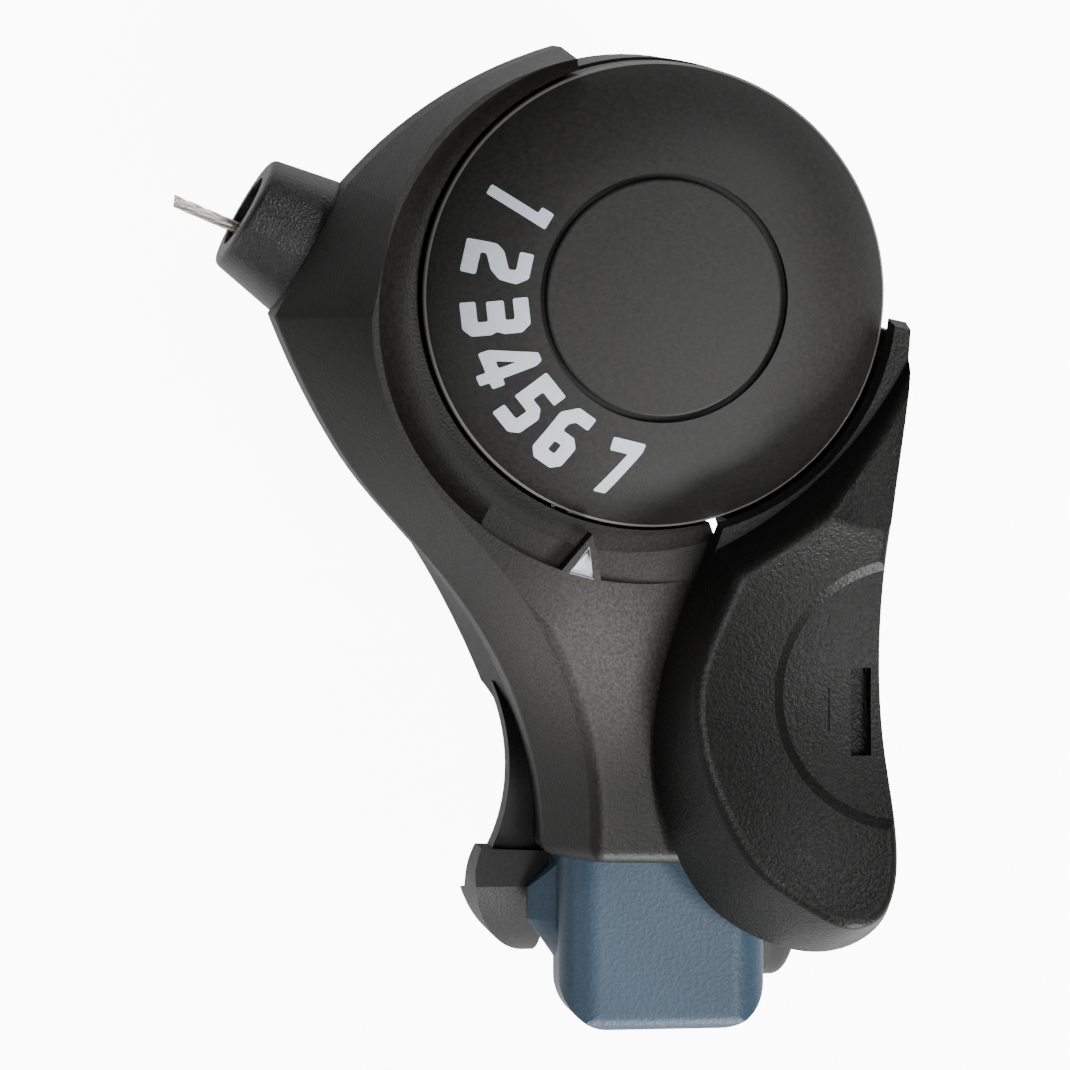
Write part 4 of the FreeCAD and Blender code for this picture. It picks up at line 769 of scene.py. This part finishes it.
cut_place = cable_start + cable_way * (CABLE_RUN - CUT_BACK)
cut_way = Matrix.Rotation(CUT_SLANT, 3, "Z") @ cable_way
edit_only(cable, lambda vertex: True)
bpy.ops.mesh.bisect(plane_co=cut_place, plane_no=cut_way, clear_outer=True)
bpy.ops.object.mode_set(mode="OBJECT")
close_ends(cable, finish["bright_wire"])
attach(cable, "housing")
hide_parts("inner_cable")
print("cable", len(cable.data.polygons), "faces")

# %% [markdown]
# At its inner end the cable lies a part of a turn round the spool and carries a cast nipple, a small
# drum in a pocket of the spool, by which the spool pulls the cable. The same ring of wires is spun
# round the dial's axis, and the nipple is a cylinder with bevelled rims, joined to it. Both ride the
# rotor, because they move with the spool, while the straight run stays with the housing.

# %% Nipple
TURN_ON_SPOOL = math.radians(40)
TURN_STEPS = 12
NIPPLE_RADIUS = 2.2 * MM
NIPPLE_LENGTH = 4.6 * MM
NIPPLE_SIDES = 32
NIPPLE_RIM = 0.3 * MM
RIM_SEGMENTS = 3
turn = ring_of_wires("cable_nipple")
lay_along(turn, cable_start, cable_way)
edit_only(turn, lambda vertex: True)
bpy.ops.mesh.spin(steps=TURN_STEPS, angle=-TURN_ON_SPOOL, center=DIAL_MIDDLE, axis=(0, 0, 1))
bpy.ops.object.mode_set(mode="OBJECT")
close_ends(turn, finish["bright_wire"])
deselect()
bpy.ops.mesh.primitive_cylinder_add(vertices=NIPPLE_SIDES, radius=NIPPLE_RADIUS, depth=NIPPLE_LENGTH,
                                    location=on_spool(LEAVES_SPOOL + TURN_ON_SPOOL))
nipple = bpy.context.object
rim = nipple.modifiers.new("rim", "BEVEL")
rim.width = NIPPLE_RIM
rim.segments = RIM_SEGMENTS
bpy.ops.object.modifier_apply(modifier="rim")
bpy.ops.object.shade_smooth_by_angle(angle=SMOOTH_ANGLE)
turn.select_set(True)
bpy.context.view_layer.objects.active = turn
bpy.ops.object.join()
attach(turn, "rotor")
print("nipple and turn", len(turn.data.polygons), "faces")

# %% [markdown]
# A coil spring pushes the button back out. It is a small circle of wire, wound by a Screw modifier
# that climbs as it turns and then merged where the turns meet.

# %% Release coil
SPRING_WIRE = 0.7 * MM
SPRING_TURNS = 4
SPRING_SIDES = 12
TURN_SEGMENTS = 32
COIL_MERGE = 0.01 * MM
low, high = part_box("release_spring")
spring_length = high.y - low.y
coil_radius = (high.x - low.x - SPRING_WIRE) / 2
spring_start = Vector(((low.x + high.x) / 2, low.y + SPRING_WIRE / 2, (low.z + high.z) / 2))
deselect()
bpy.ops.mesh.primitive_circle_add(vertices=SPRING_SIDES, radius=SPRING_WIRE / 2,
                                  location=(coil_radius, 0, 0), rotation=(math.pi / 2, 0, 0))
spring = bpy.context.object
spring.name = "release_coil"
bpy.ops.object.transform_apply(location=True, rotation=True, scale=True)
wind = spring.modifiers.new("wind", "SCREW")
wind.screw_offset = (spring_length - SPRING_WIRE) / SPRING_TURNS
wind.iterations = SPRING_TURNS
wind.steps = TURN_SEGMENTS
wind.render_steps = TURN_SEGMENTS
bpy.ops.object.modifier_apply(modifier="wind")
bpy.ops.object.mode_set(mode="EDIT")
merge_doubles(COIL_MERGE)
bpy.ops.object.mode_set(mode="OBJECT")
close_ends(spring, finish["zinc_steel"])
lay_along(spring, spring_start, Vector((0, 1, 0)))
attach(spring, "housing")
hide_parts("release_spring")
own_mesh(spring)
print("release coil", [round(c / MM, 2) for c in spring.dimensions], "mm")

# %% [markdown]
# A flat leaf presses the pawl against its ratchet; in the shifter its root is held in the housing and
# its tip follows the pawl. Here its mesh is copied from the solid and cut into small faces.

# %% Pawl leaf
LEAF_MERGE = 0.001 * MM
LEAF_CUTS = 12
leaf = bpy.data.objects.new("pawl_leaf", solids["pawl_spring"].data.copy())
bpy.context.scene.collection.objects.link(leaf)
activate(leaf)
bpy.ops.object.mode_set(mode="EDIT")
merge_doubles(LEAF_MERGE)
bpy.ops.mesh.tris_convert_to_quads()
bpy.ops.mesh.subdivide(number_cuts=LEAF_CUTS)
bpy.ops.object.mode_set(mode="OBJECT")
leaf.data.materials.clear()
leaf.data.materials.append(finish["zinc_steel"])
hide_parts("pawl_spring")
low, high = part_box("pawl_spring")
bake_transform(leaf)
print("pawl leaf", len(leaf.data.polygons), "faces")

# %% [markdown]
# Dressing is meant to keep the size of the part. The box of the solids was kept and printed at the
# start, and here the box of the dressed model is printed, so that the two can be compared.

# %% Box of the dressed model
low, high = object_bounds()
print("visual box", [round(side / MM, 2) for side in high - low], "mm")
